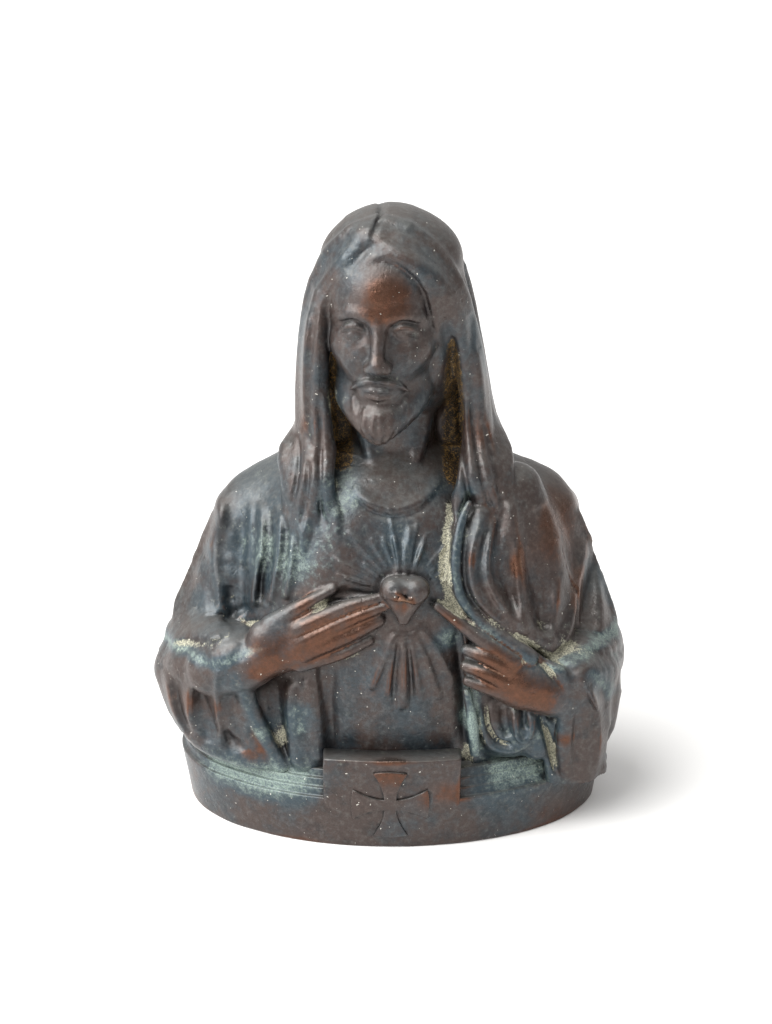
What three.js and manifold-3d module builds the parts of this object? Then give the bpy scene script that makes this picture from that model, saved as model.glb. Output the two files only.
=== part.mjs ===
// Sacred heart bust: a half-length devotional figure cast in one piece with its oval base.
// Long parted hair falls on the shoulders, the right hand lies open below the heart, the left hand
// points at it, and wide mantle sleeves hang down onto the base, which carries a small cross on a
// raised panel. Millimetres, +Z up, the figure looks along -Y, origin at the middle of the underside.

import * as THREE from "three";
import { mergeVertices } from "three/addons/utils/BufferGeometryUtils.js";
import Module from "manifold-3d";

// Driving dimensions of the figure.
const FIGURE_HEIGHT = 163; // from the top of the base to the crown of the head
const HEM_LEVEL = 24; // level of the figure's drawing that stands on the base
const CROWN_LEVEL = 187; // level of the crown in the drawing
const SHARE = FIGURE_HEIGHT / (CROWN_LEVEL - HEM_LEVEL); // one unit of the drawing

// Driving dimensions of the base.
const BASE_WIDTH = 129.5; // across the top edge of the band
const BASE_DEPTH = 88;
const BAND_HEIGHT = 16.5;
const BAND_BATTER = 2.7; // how far the foot stands in from the band's top edge
const MOULDING_HEIGHT = 7.5; // three small steps above the band
const MOULDING_STEPS = 3;
const MOULDING_SETBACK = 1.3; // each step stands in by this much
const BASE_HEIGHT = BAND_HEIGHT + MOULDING_HEIGHT;

// Driving dimensions of the panel and its cross.
const PANEL_WIDTH = 40.4;
const PANEL_HEIGHT = 30.5;
const PANEL_THICKNESS = 4.6; // at its top edge
const PANEL_OVAL = 142; // width of the flatter oval that its face follows
const CROSS_SPAN = 22;
const CROSS_RISE = 15.4; // middle of the cross above the ground
const CROSS_PROUD = 1.3;
const CROSS_BEVEL = 0.4;
const BATTER = BAND_BATTER / BAND_HEIGHT;

// How finely the figure is meshed before and after simplifying.
const CELL = 1.5;
const LEAST_SOFTNESS = 1.2; // gaps narrower than this are filled
const FIGURE_TRIANGLES = 7800;
const STRANDS = 5; // on each side of the face

const { min, max, abs, sin, cos, sqrt, hypot, PI, atan2, exp } = Math;
const mix = (a, b, t) => a + (b - a) * t;
const clamp = (v, lo = 0, hi = 1) => min(hi, max(lo, v));
const smooth = (t) => t * t * (3 - 2 * t);
const step = (lo, hi, v) => smooth(clamp((v - lo) / (hi - lo)));

// A form is a solid described by its depth: how far a point is outside it, negative inside.
// The box bounds it, so that far points skip it.
class Form {
  constructor(low, high, depth) {
    this.low = low;
    this.high = high;
    this.depth = depth;
  }
  least(x, y, z) {
    const dx = max(this.low[0] - x, 0, x - this.high[0]);
    const dy = max(this.low[1] - y, 0, y - this.high[1]);
    const dz = max(this.low[2] - z, 0, z - this.high[2]);
    return sqrt(dx * dx + dy * dy + dz * dz);
  }
}

const boxOf = (forms) => [
  [0, 1, 2].map((i) => min(...forms.map((f) => f.low[i]))),
  [0, 1, 2].map((i) => max(...forms.map((f) => f.high[i]))),
];

// An ellipsoid, turned by yaw about z and then by roll about y, in degrees.
function blob([cx, cy, cz], [rx, ry, rz], yaw = 0, roll = 0) {
  const turn = new THREE.Matrix4().makeRotationFromEuler(
    new THREE.Euler(0, (-roll * PI) / 180, (-yaw * PI) / 180, "ZYX"),
  );
  const e = turn.invert().elements;
  const reach = max(rx, ry, rz);
  return new Form(
    [cx - reach, cy - reach, cz - reach],
    [cx + reach, cy + reach, cz + reach],
    (x, y, z) => {
      const px = x - cx;
      const py = y - cy;
      const pz = z - cz;
      const u = (e[0] * px + e[4] * py + e[8] * pz) / rx;
      const v = (e[1] * px + e[5] * py + e[9] * pz) / ry;
      const w = (e[2] * px + e[6] * py + e[10] * pz) / rz;
      const k0 = sqrt(u * u + v * v + w * w);
      const k1 = hypot(u / rx, v / ry, w / rz);
      return k1 < 1e-9 ? -min(rx, ry, rz) : (k0 * (k0 - 1)) / k1;
    },
  );
}

// A round bar whose line runs smoothly through the points, with a radius at each point.
function limb(points, radii, pieces = 3) {
  const curve = new THREE.CatmullRomCurve3(points.map((p) => new THREE.Vector3(...p)), false,
    "centripetal");
  const count = points.length > 2 ? (points.length - 1) * pieces : 1;
  const nodes = [];
  for (let i = 0; i <= count; i++) {
    const t = i / count;
    const at = t * (radii.length - 1);
    const j = min(radii.length - 2, Math.floor(at));
    const c = curve.getPoint(t);
    nodes.push([c.x, c.y, c.z, mix(radii[j], radii[j + 1], at - j)]);
  }
  const low = [0, 1, 2].map((i) => min(...nodes.map((n) => n[i] - n[3])));
  const high = [0, 1, 2].map((i) => max(...nodes.map((n) => n[i] + n[3])));
  return new Form(low, high, (x, y, z) => {
    let least = Infinity;
    for (let i = 0; i < count; i++) {
      const [ax, ay, az, ar] = nodes[i];
      const [bx, by, bz, br] = nodes[i + 1];
      const ux = bx - ax;
      const uy = by - ay;
      const uz = bz - az;
      const px = x - ax;
      const py = y - ay;
      const pz = z - az;
      const t = clamp((px * ux + py * uy + pz * uz) / (ux * ux + uy * uy + uz * uz + 1e-9));
      const dx = px - ux * t;
      const dy = py - uy * t;
      const dz = pz - uz * t;
      least = min(least, sqrt(dx * dx + dy * dy + dz * dz) - mix(ar, br, t));
    }
    return least;
  });
}

// An upright column whose plan is an oval at each level: rows of
// [level, half width, depth in front, depth behind, middle x, middle y].
function column(rows) {
  const first = rows[0][0];
  const last = rows[rows.length - 1][0];
  const widest = max(...rows.map((r) => r[1] + abs(r[4])));
  const deepest = max(...rows.map((r) => max(r[2], r[3]) + abs(r[5])));
  const at = (z, out) => {
    let i = 0;
    while (i < rows.length - 2 && z > rows[i + 1][0]) i++;
    const t = clamp((z - rows[i][0]) / (rows[i + 1][0] - rows[i][0]));
    const before = rows[max(0, i - 1)];
    const after = rows[min(rows.length - 1, i + 2)];
    for (let c = 1; c < 6; c++) {
      const a = rows[i][c];
      const b = rows[i + 1][c];
      const gap = rows[i + 1][0] - rows[i][0];
      const slopeA = ((b - before[c]) / (rows[i + 1][0] - before[0])) * gap;
      const slopeB = ((after[c] - a) / (after[0] - rows[i][0])) * gap;
      const t2 = t * t;
      const t3 = t2 * t;
      out[c] =
        a * (2 * t3 - 3 * t2 + 1) + slopeA * (t3 - 2 * t2 + t) + b * (3 * t2 - 2 * t3) + slopeB * (t3 - t2);
    }
    return out;
  };
  const row = [0, 0, 0, 0, 0, 0];
  return new Form([-widest, -deepest, first], [widest, deepest, last], (x, y, z) => {
    at(z, row);
    const dx = x - row[4];
    const dy = y - row[5];
    const ry = dy < 0 ? row[2] : row[3];
    const k0 = hypot(dx / row[1], dy / ry);
    const k1 = hypot(dx / (row[1] * row[1]), dy / (ry * ry));
    const side = k1 < 1e-9 ? -min(row[1], ry) : (k0 * (k0 - 1)) / k1;
    return max(side, first - z, z - last);
  });
}

const softMin = (a, b, k) => {
  const h = max(k - abs(a - b), 0) / k;
  return min(a, b) - (h * h * k) / 4;
};

// Forms run together with a fillet of about this softness.
function joined(wanted, ...forms) {
  const softness = max(wanted, LEAST_SOFTNESS);
  const [low, high] = boxOf(forms);
  return new Form(low, high, (x, y, z) => {
    let d = 1e3;
    for (const f of forms) {
      if (f.least(x, y, z) > d + softness) continue;
      d = softMin(d, f.depth(x, y, z), softness);
    }
    return d;
  });
}

// A form with others cut out of it, the edges of the cut eased by this softness.
function carved(softness, form, ...cutters) {
  return new Form(form.low, form.high, (x, y, z) => {
    let d = form.depth(x, y, z);
    for (const c of cutters) {
      if (c.least(x, y, z) > softness - d) continue;
      d = -softMin(-d, c.depth(x, y, z), softness);
    }
    return d;
  });
}

// A fold drawn on a view of the figure, as a rise above its surface; a negative height makes it a
// furrow. Points are [across the view, level].
function fold(points, halfWidth, height) {
  const curve = new THREE.CatmullRomCurve3(points.map(([u, z]) => new THREE.Vector3(u, 0, z)));
  const steps = (points.length - 1) * 3;
  const line = Array.from({ length: steps + 1 },
    (_, i) => curve.getPoint(i / steps)).map((p) => [p.x, p.z]);
  const reach = halfWidth * 2.2;
  const [lowU, lowZ] = [0, 1].map((i) => min(...line.map((p) => p[i])) - reach);
  const [highU, highZ] = [0, 1].map((i) => max(...line.map((p) => p[i])) + reach);
  return (u, z) => {
    if (u < lowU || u > highU || z < lowZ || z > highZ) return 0;
    let least = Infinity;
    let along = 0;
    for (let i = 0; i < steps; i++) {
      const [au, az] = line[i];
      const du = line[i + 1][0] - au;
      const dz = line[i + 1][1] - az;
      const t = clamp(((u - au) * du + (z - az) * dz) / (du * du + dz * dz));
      const d = hypot(u - au - du * t, z - az - dz * t);
      if (d < least) {
        least = d;
        along = (i + t) / steps;
      }
    }
    const taper = sqrt(clamp(5.6 * along * (1 - along)));
    const off = least / halfWidth;
    return height * taper * exp(-off * off);
  };
}

// The sides of the figure: the axis they face along, its sign and how far out they begin.
const [FRONT, BACK, LEFT, RIGHT] = [[1, -1, 0], [1, 1, 0], [0, -1, 34], [0, 1, 34]];

// A form with folds on the side of it that a view shows.
function dressed(form, folds, [axis, sign, out]) {
  const grow = 3;
  const low = form.low.map((v) => v - grow);
  const high = form.high.map((v) => v + grow);
  return new Form(low, high, (x, y, z) => {
    const d = form.depth(x, y, z);
    if (d > grow * 3 || d < -grow * 3) return d;
    const seen = step(-6, 6, (axis ? y : x) * sign - out);
    if (seen === 0) return d;
    let rise = 0;
    for (const f of folds) rise += f(axis ? x : y, z);
    return d - rise * seen;
  });
}

// Where a line drawn from top to bottom on the front view lies at a level.
function lineAt(line, z) {
  let i = 0;
  while (i < line.length - 2 && z < line[i + 1][1]) i++;
  return mix(line[i][0], line[i + 1][0], clamp((line[i][1] - z) / (line[i][1] - line[i + 1][1])));
}

// The space in front of the form under, between two lines drawn from top to bottom on the front view.
// Below the level slit its left edge is steep, above it the edge fades out.
function openFront(under, left, right, slit) {
  return new Form([-60, -60, 0], [60, -8, 140], (x, y, z) => {
    const pastLeft = x - lineAt(left, z);
    const slope = mix(1.6, 0.26, clamp((z - slit + 6) / 12));
    const layer = clamp(3 - pastLeft * slope, -4, 6);
    return max(x - lineAt(right, z), -pastLeft - 12, y + 8, layer - under.depth(x, y, z));
  });
}

const bothSides = (make) => [make(-1), make(1)];

// Strands of hair that fill the space between guide lines.
function strands(guides, count, radii) {
  return Array.from({ length: count }, (_, n) => {
    const t = (n / (count - 1)) * (guides.length - 1);
    const i = min(Math.floor(t), guides.length - 2);
    const line = guides[i].map((p, k) => p.map((v, axis) => mix(v, guides[i + 1][k][axis], t - i)));
    return limb(line, radii);
  });
}

// A strand down the back at an angle from the middle: rows of [level, half width, depth].
function roundStrand(angle, rows, radii) {
  const line = rows.map(([z, rx, ry], i) => {
    const turn = ((angle + 3 * sin(i * 1.7 + angle)) * PI) / 180;
    return [rx * sin(turn), ry * cos(turn) - 1, z];
  });
  return limb(line, radii);
}

// The head is drawn in its own frame, at the middle of the skull, looking along -Y, then bowed,
// turned and placed.
const HEAD_MIDDLE = [-1.5, -9, 154.5];
const HEAD_BOW = -4; // degrees
const HEAD_TURN = 6;
const HEAD_SHARE = 0.95; // of the size it is drawn at

function placedHead(form) {
  const bow = (HEAD_BOW * PI) / 180;
  const turn = (HEAD_TURN * PI) / 180;
  const [cx, cy, cz] = HEAD_MIDDLE;
  const reach = 44;
  const low = HEAD_MIDDLE.map((v) => v - reach);
  const high = HEAD_MIDDLE.map((v) => v + reach);
  return new Form(low, high, (x, y, z) => {
    const px = (x - cx) / HEAD_SHARE;
    const py = (y - cy) / HEAD_SHARE;
    const pz = (z - cz) / HEAD_SHARE;
    const qx = px * cos(turn) - py * sin(turn);
    const qy = px * sin(turn) + py * cos(turn);
    const ry = qy * cos(bow) + pz * sin(bow);
    const rz = -qy * sin(bow) + pz * cos(bow);
    return form.depth(qx, ry, rz) * HEAD_SHARE;
  });
}

// The figure's drawing, in its own millimetres: the hem's level is 24 and the crown's 187.

function face() {
  const skull = blob([0, 3, 6.5], [18.4, 23, 21.5]);
  const forehead = blob([0, -7, 8.6], [15.6, 17.4, 17.4]);
  const middle = blob([0, -6.6, -7.6], [14.5, 16.4, 21]);
  const jaws = bothSides((s) =>
    limb([[s * 11.2, -3, -15.6], [s * 9.2, -11, -23], [s * 3.6, -18.6, -27.6]], [4, 4.2, 4.2]));
  const cheeks = bothSides((s) =>
    limb([[s * 13, -8, -3.2], [s * 10.4, -15.6, -5.6], [s * 6.8, -18, -9]], [2.4, 3.4, 3]));
  const mass = joined(6, skull, forehead, middle, ...jaws, ...cheeks);
  const sockets = bothSides((s) => blob([s * 7.4, -25.2, 0], [4.9, 4, 3.2], s * -8));
  const hollowed = carved(3, mass, ...sockets);
  const browBone = bothSides((s) =>
    limb([[s * 12.6, -16.4, 3], [s * 8.6, -21.4, 5], [s * 3.4, -22.9, 4.6]], [1, 1.3, 1.3]));
  const nose = joined(1.8,
    limb([[0, -22.9, 4.8], [0, -24.9, -2], [0, -27.4, -8.6]], [1.7, 1.8, 2]),
    blob([0, -27.2, -9.8], [2.5, 2.5, 2.3]),
    ...bothSides((s) => blob([s * 2.6, -25.2, -10.6], [1.7, 2.3, 1.8])));
  const mouth = blob([0, -19.6, -17.8], [6.2, 4.4, 4.8]);
  const chin = blob([0, -20.6, -26.8], [5, 4.2, 4]);
  const lips = [
    limb([[-4.6, -22.2, -18.3], [-1.8, -24, -17.6], [0, -24.1, -17.9], [1.8, -24, -17.6],
      [4.6, -22.2, -18.3]],
      [0.3, 0.6, 0.6, 0.6, 0.3]),
    limb([[-3.6, -22.4, -19.3], [0, -23.8, -19.9], [3.6, -22.4, -19.3]], [0.4, 0.8, 0.4])];
  const eyes = bothSides((s) => joined(0.5,
    blob([s * 7.4, -18.2, -0.8], [4.4, 4.5, 3.9]),
    limb([[s * 11.9, -18.9, -1.2], [s * 9.7, -21.4, 1], [s * 7.4, -22.5, 1.6], [s * 5, -22.2, 0.8],
      [s * 3.4, -21.2, -1.2]],
      [0.5, 0.75, 0.8, 0.75, 0.5]),
    limb([[s * 11.4, -19.4, -1.6], [s * 8.8, -21.5, -3.4], [s * 6, -21.7, -3.5], [s * 3.7, -21.1, -1.8]],
      [0.4, 0.5, 0.5, 0.4])));
  const solid = joined(1.8, joined(3, hollowed, ...browBone, mouth, chin), nose);
  const whole = joined(0.7, joined(0.8, solid, ...lips), ...eyes);
  return whole;
}

function beard() {
  const jaws = bothSides((s) =>
    limb([[s * 13.6, -4.4, -10], [s * 11.8, -9, -18.6], [s * 7.8, -16, -25.8], [s * 3.2, -20.4, -30]],
      [1, 2, 2.6, 2.8]));
  const moustache = bothSides((s) =>
    limb([[s * 0.8, -24.3, -14.7], [s * 3.4, -23.6, -15.1], [s * 6, -22, -16.2], [s * 8.6, -19.4, -18.4]],
      [0.4, 0.7, 0.7, 0.4]));
  const tufts = bothSides((s) =>
    limb([[s * 1.8, -22.4, -24.8], [s * 2.4, -22.6, -29.4], [s * 1.5, -21.2, -33.4]], [1, 2.4, 1.3]));
  return joined(1.5, ...jaws, ...moustache, ...tufts);
}

function neck() {
  const throat = limb([[0.5, 0, 96], [0.5, -5, 116], [0, -6, 136]], [15.5, 12.4, 12]);
  const cords = bothSides((s) =>
    limb([[s * 10 + 0.5, -10.6, 128], [s * 6.5 + 0.5, -17.4, 114], [s * 2 + 0.5, -20.4, 105]],
      [1.6, 1.4, 1.2]));
  return joined(4, throat, ...cords);
}

// The hair's mass: a smooth cap open round the face, and a fall behind.
function hairMass() {
  const cap = joined(3, blob([-0.5, -7, 162], [20.6, 25.6, 24]), blob([0, -1, 148.5], [22.6, 25, 30]),
    blob([-0.2, -7, 171], [20.4, 18, 14.5]));
  const fall = column([
    [86, 33, 14, 30.5, 0, 0],
    [100, 33.5, 10, 31, 0, 0],
    [110, 31, 8, 29, 0, 0],
    [125, 26.5, 6, 25.5, 0, 0],
    [145, 23.5, 6, 23.5, 0, 0],
    [165, 20, 6, 18, 0, 0]]);
  const opening = [
    blob([-2, -38, 153.5], [16, 21, 26]),
    limb([[-1, -30, 150], [0.5, -26, 116]], [14, 13.4])];
  return carved(2, joined(3, cap, fall), ...opening);
}

// Strands beside the face that end in locks, and strands down the back.
function hair() {
  const left = strands([
    [[-7, -20, 180.5], [-12.6, -21.6, 174.6], [-18.9, -17.6, 163.6], [-21, -20, 150.4],
      [-21.5, -18.5, 133.5], [-20.1, -21.5, 117.8], [-20.4, -26.4, 110.5], [-18.4, -27.3, 103.2],
      [-16.1, -31.4, 96.4]],
    [[-3.9, -16, 183.8], [-13.5, -15.7, 179], [-20.8, -9.4, 164.4], [-23.2, -12, 149.4],
      [-24.3, -11, 132.5], [-24.3, -16, 117.4], [-23.9, -24.4, 109.7], [-25.1, -26.3, 99.7],
      [-25.4, -29.7, 90.2]],
    [[-2, 1, 181], [-12.4, 1, 174.6], [-17.6, 1, 160.5], [-19, 0, 141], [-22.2, -3, 122],
      [-29.4, -13, 114.8], [-29.2, -19.6, 107.9], [-29.6, -20.7, 100.9], [-30.1, -23.7, 95.3]]],
    STRANDS, [2, 2.3, 3.2, 3.7, 3.8, 3.6, 3.1, 2.3, 0.8]);
  const right = strands([
    [[-5, -22, 179.9], [3.3, -25.9, 176.1], [12.3, -24.6, 168.8], [18.4, -18, 153.9], [22.1, -16, 137.8],
      [22.8, -18, 122.1], [21, -25, 110.6], [19.3, -26, 104.2], [18.7, -29.2, 98.6]],
    [[-2.8, -16.2, 183.8], [7.8, -18.7, 180.4], [17.2, -17.8, 166.5], [21.5, -12, 149.4],
      [24.3, -11, 132.5], [25.7, -17, 117.8], [25.6, -25, 109.9], [27.7, -24.2, 99.8], [28.9, -27.2, 90.4]],
    [[0, 1, 181], [14.2, 0, 174.4], [19.8, 1, 160.5], [23.4, 0, 141], [27, -3, 122], [31.4, -13, 114.8],
      [32.4, -20, 108.1], [35, -17.5, 97.9], [36.4, -20.9, 87.9]]],
    STRANDS, [2, 2.3, 3.2, 3.7, 3.8, 3.6, 3.1, 2.3, 0.8]);
  const locks = [
    limb([[-18.7, -21, 118.3], [-18.9, -26.4, 111.7], [-17.8, -26.5, 105], [-15.8, -29.7, 101],
      [-15.5, -32.2, 95.5]], [2.6, 2.2, 1.7, 1.3, 0.6]),
    limb([[-22.5, -18, 119.6], [-22.7, -25, 111.8], [-24.2, -25.4, 102.4], [-25, -28.5, 96.5],
      [-25.6, -30.2, 89.1]], [3.2, 2.9, 2.4, 1.9, 0.7]),
    limb([[22.5, -18, 119.6], [23.2, -25.2, 112.5], [25.4, -23.5, 103.5], [28, -25, 98.6],
      [29.5, -26.2, 93.8], [28.6, -28.3, 88.7]],
      [3.2, 2.8, 2.4, 2, 1.6, 0.7]),
    limb([[26, -17, 117.5], [27.9, -24, 110.8], [30.5, -20.2, 101.3], [31.9, -22.6, 96.1],
      [32.2, -24.3, 90.5]], [2.9, 2.6, 2.1, 1.6, 0.7])];
  const bedding = [
    limb([[-22, -8, 120], [-23.6, -16, 111], [-25, -20.6, 104], [-26, -24, 96]], [6, 6.6, 6.2, 3.8]),
    limb([[-17.6, -5, 160], [-19.6, -6, 146], [-21.6, -6, 126]], [3, 4.2, 4.4]),
    limb([[18, -5, 160], [21, -6, 146], [24.6, -6, 126]], [3, 4.2, 4.4]),
    limb([[25, -8, 120], [26.8, -16, 111], [28.8, -20.6, 104], [30.4, -24, 96]], [6, 6.6, 6.2, 3.8]),
    blob([-5.6, -19.9, 179.6], [5, 3.4, 4.4])];
  const behind = [-78, -52, -26, 0, 26, 52, 78].map((angle) => roundStrand(angle, [
    [182, 3, 5], [167, 16, 17], [146, 19.5, 22], [126, 22, 24], [108, 27, 27.5], [94, 30, 29]],
    [1, 3.4, 4.4, 4.8, 4.4, 2]));
  const mass = joined(1.5, joined(2.2, hairMass(), ...left, ...right, ...behind, ...bedding), ...locks);
  return mass;
}

function torso() {
  return column([
    [18, 46, 36, 34, 0, 0],
    [30, 47, 37, 35, 0, 0],
    [50, 47, 37.6, 35, 0, 0],
    [70, 45, 37.6, 33, 0, 0],
    [88, 40, 34.5, 30, 0, 0],
    [100, 33, 30, 26, 0, 0],
    [108, 24, 25, 20, 0, 0],
    [116, 14, 17, 15, 0, 0]]);
}

function shell() {
  return column([
    [18, 49, 38.5, 38, 0, 0],
    [50, 50, 40.5, 39, 0, 0],
    [70, 49, 41, 37.5, 0, 0],
    [88, 44, 37.6, 34.5, 0, 0],
    [100, 39, 32.6, 30, 0, 0],
    [109, 30, 26, 25, 0, 0],
    [114, 22, 18, 19, 0, 0]]);
}

function arms() {
  return [
    limb([[-27, 4, 94], [-38, 2, 90], [-40.6, 0, 83], [-46.8, -3, 66], [-53.6, -8, 51]],
      [13, 13.2, 13.2, 13.8, 14.4]),
    limb([[28, 4, 94.5], [40.5, 2, 91], [43.2, 0, 83], [47.6, -3, 66], [53.6, -8, 50.5]],
      [13, 13.4, 13.6, 14, 15.4])];
}

function tunic() {
  const pleats = [
    fold([[0.9, 67.9], [-2.6, 59], [-6.1, 49.4]], 1.3, 1.5),
    fold([[2, 67.8], [0, 58], [-1.5, 46.9]], 1.1, 1),
    fold([[3.4, 67.8], [3.5, 55.7], [3.2, 43]], 1.3, 1.3),
    fold([[4.9, 67.8], [6.6, 57.2], [8.7, 44.7]], 1.1, 1),
    fold([[6.3, 68.3], [10.1, 58.3], [14, 45.5]], 1.2, 1),
    fold([[8, 69.8], [13.3, 61.2], [18.6, 49.5]], 1.3, 0.9),
    fold([[2, 66.9], [0.6, 54.1], [0.6, 41]], 0.8, -0.8),
    fold([[4.6, 66.9], [5.5, 54], [5.8, 42.5]], 0.8, -0.8),
    fold([[-13.6, 56], [-12.2, 47], [-11.7, 32.1]], 3, 0.9),
    fold([[-17.1, 55.6], [-17.8, 43.1], [-17.1, 28.1]], 1.6, -0.8),
    fold([[-7.6, 40.8], [-6.4, 34.2], [-7, 28.8]], 2.5, 0.6),
    fold([[17.9, 65.7], [20.4, 49.2], [21.2, 29.1]], 1.4, -1)];
  return dressed(torso(), pleats, FRONT);
}

// The mantle: shoulders, upper arms and an outer layer that stands open over the chest.
function mantle() {
  const rightEdge = [[21.2, 106.3], [17.4, 95.8], [16.3, 84.2], [19.2, 77], [21.4, 62.8], [22.7, 46.9],
    [23.8, 25.9]];
  const leftEdge = [[-12, 105.7], [-16.6, 92.3], [-20.1, 77.6], [-21.9, 65.5], [-22.6, 53.1], [-21.3, 40.3],
    [-20.6, 25.7]];
  const opening = openFront(torso(), leftEdge, rightEdge, 76);
  const folds = [
    fold([[-48.2, 103], [-52.9, 84.1], [-50.3, 69.5], [-48.2, 59.5]], 2.6, 1.4),
    fold([[-48.1, 73.7], [-47.6, 66.4], [-46.4, 59.5]], 1.7, -1.3),
    fold([[-56.9, 79.1], [-55.1, 68.3], [-52.6, 60.1]], 2.6, 0.8),
    fold([[-43.6, 92.3], [-44.5, 78.3], [-44, 65.1]], 2.4, -0.9),
    fold([[-38.2, 98.6], [-38.3, 87.4], [-41.4, 68.3]], 1.6, 1.4),
    fold([[-37.3, 85], [-38.2, 78.2], [-38.6, 71.9]], 1.2, -1.1),
    fold([[-32.3, 99.8], [-32.8, 88.8], [-36.1, 72.9]], 1.4, 1.3),
    fold([[-28.9, 94.7], [-29.2, 85.3], [-31, 75.6]], 1.3, 1),
    fold([[-34.6, 89], [-35.5, 80.7], [-37.3, 73]], 1.1, -0.7),
    fold([[26.3, 101.2], [23.2, 93.4], [22.6, 86.3], [24.4, 79.3], [28.5, 74], [35.2, 67.6]], 1.1, 0.8),
    fold([[27, 96.9], [25.5, 90.3], [25.5, 84.7], [28.2, 78.2], [32.8, 73.2]], 1, -0.6),
    fold([[29.8, 99.9], [27.8, 91.9], [27.8, 85], [30.8, 77.8], [36.4, 70.3]], 1.2, 1),
    fold([[31.3, 101.9], [30.7, 93.8], [31.4, 85.3], [33.8, 76.4]], 1.1, -0.8),
    fold([[33.3, 107.6], [35.6, 96.5], [37.6, 78.6], [38.6, 66.7]], 2.3, 1.3),
    fold([[33.4, 93.4], [34.4, 78.6], [35.7, 69]], 1.7, -0.9),
    fold([[42.2, 100.3], [42.5, 86.4], [42.6, 65.2]], 3.2, -1),
    fold([[48.4, 80.7], [47.2, 68], [45.5, 56.5]], 1.6, 0.9),
    fold([[57.8, 84.7], [53.8, 68.7], [48.5, 56.6]], 2.3, 1.1),
    fold([[60.1, 78.3], [57.5, 68], [53.8, 58.2]], 2, -0.8),
    fold([[61, 78.3], [62.1, 66.1], [61, 57.5]], 2, 1),
    fold([[-51.9, 96.7], [-49.1, 90.8], [-46, 84.9]], 2.6, 0.8),
    fold([[-41.2, 97.8], [-41.7, 87.3], [-42.6, 78.9]], 1.2, 0.8)];
  const behind = [
    fold([[-6, 88], [-12, 60], [-14, 24]], 2.8, 1.7),
    fold([[5, 88], [4, 56], [7, 24]], 2.6, 1.5),
    fold([[15, 90], [21, 60], [27, 24]], 2.8, 1.9),
    fold([[-20, 90], [-30, 60], [-35, 24]], 2.8, 1.9),
    fold([[28, 88], [38, 62], [44, 30]], 2.6, 1.6),
    fold([[-33, 86], [-44, 60], [-48, 34]], 2.6, 1.6),
    fold([[0, 86], [-3, 56], [-3, 24]], 2, -1.5),
    fold([[10, 84], [13, 56], [17, 24]], 2, -1.5),
    fold([[-13, 86], [-21, 56], [-24, 24]], 2, -1.6),
    fold([[22, 88], [30, 60], [36, 24]], 2, -1.4),
    fold([[-26, 88], [-37, 60], [-42, 30]], 2, -1.4)];
  const sides = [
    fold([[6, 96], [10, 70], [4, 44], [2, 28]], 2.6, 1.6),
    fold([[14, 92], [20, 66], [16, 40], [14, 26]], 2.6, 1.5),
    fold([[-2, 92], [-2, 74], [-8, 58]], 2.2, 1.2),
    fold([[10, 90], [15, 66], [10, 42], [8, 28]], 1.8, -1.5),
    fold([[3, 90], [4, 68], [-2, 50]], 1.8, -1.3)];
  const lapel = [
    limb([[25.3, -27.4, 100.4], [23.6, -31, 92.2], [24.5, -33.8, 83.1], [29.4, -35, 74.9],
      [37.6, -34.4, 67.7], [45.4, -32, 61]],
      [2.6, 3.4, 3.8, 4, 3.6, 2.4]),
    limb([[30.7, -22, 98.9], [30.4, -26, 88.7], [31.9, -28, 78.5], [37.3, -29, 70.5]], [5, 6, 6.4, 5.4])];
  const breast = limb([[35.6, -14, 102.8], [39.3, -17, 86.7], [42.1, -19.4, 71.8], [45.2, -22, 58.5]],
    [8, 10, 10.4, 8.4]);
  const cloth = joined(3.5, joined(7, carved(1, shell(), opening), ...arms(), breast), ...lapel);
  return dressed(dressed(dressed(dressed(cloth, folds, FRONT), behind, BACK), sides, LEFT), sides, RIGHT);
}

// The border of the mantle, a rolled edge down the chest and along the forearm, with a fold beside it.
function border() {
  return joined(1.2,
    limb([[22.1, -29.4, 104.5], [20, -31.4, 100.1], [18.6, -34, 93.4], [18.3, -36, 86.5],
      [19.5, -37.3, 79.6], [23, -37.9, 74.3],
      [28.8, -38, 69.3], [36.4, -37.9, 63.9], [44.4, -36.8, 58]],
      [0.9, 1.4, 1.6, 1.7, 1.7, 1.7, 1.6, 1.5, 1]),
    limb([[21.8, -37.4, 48.7], [23.4, -38, 40], [24.3, -38.2, 29.8]], [1.2, 1.6, 1.6]));
}

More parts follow.
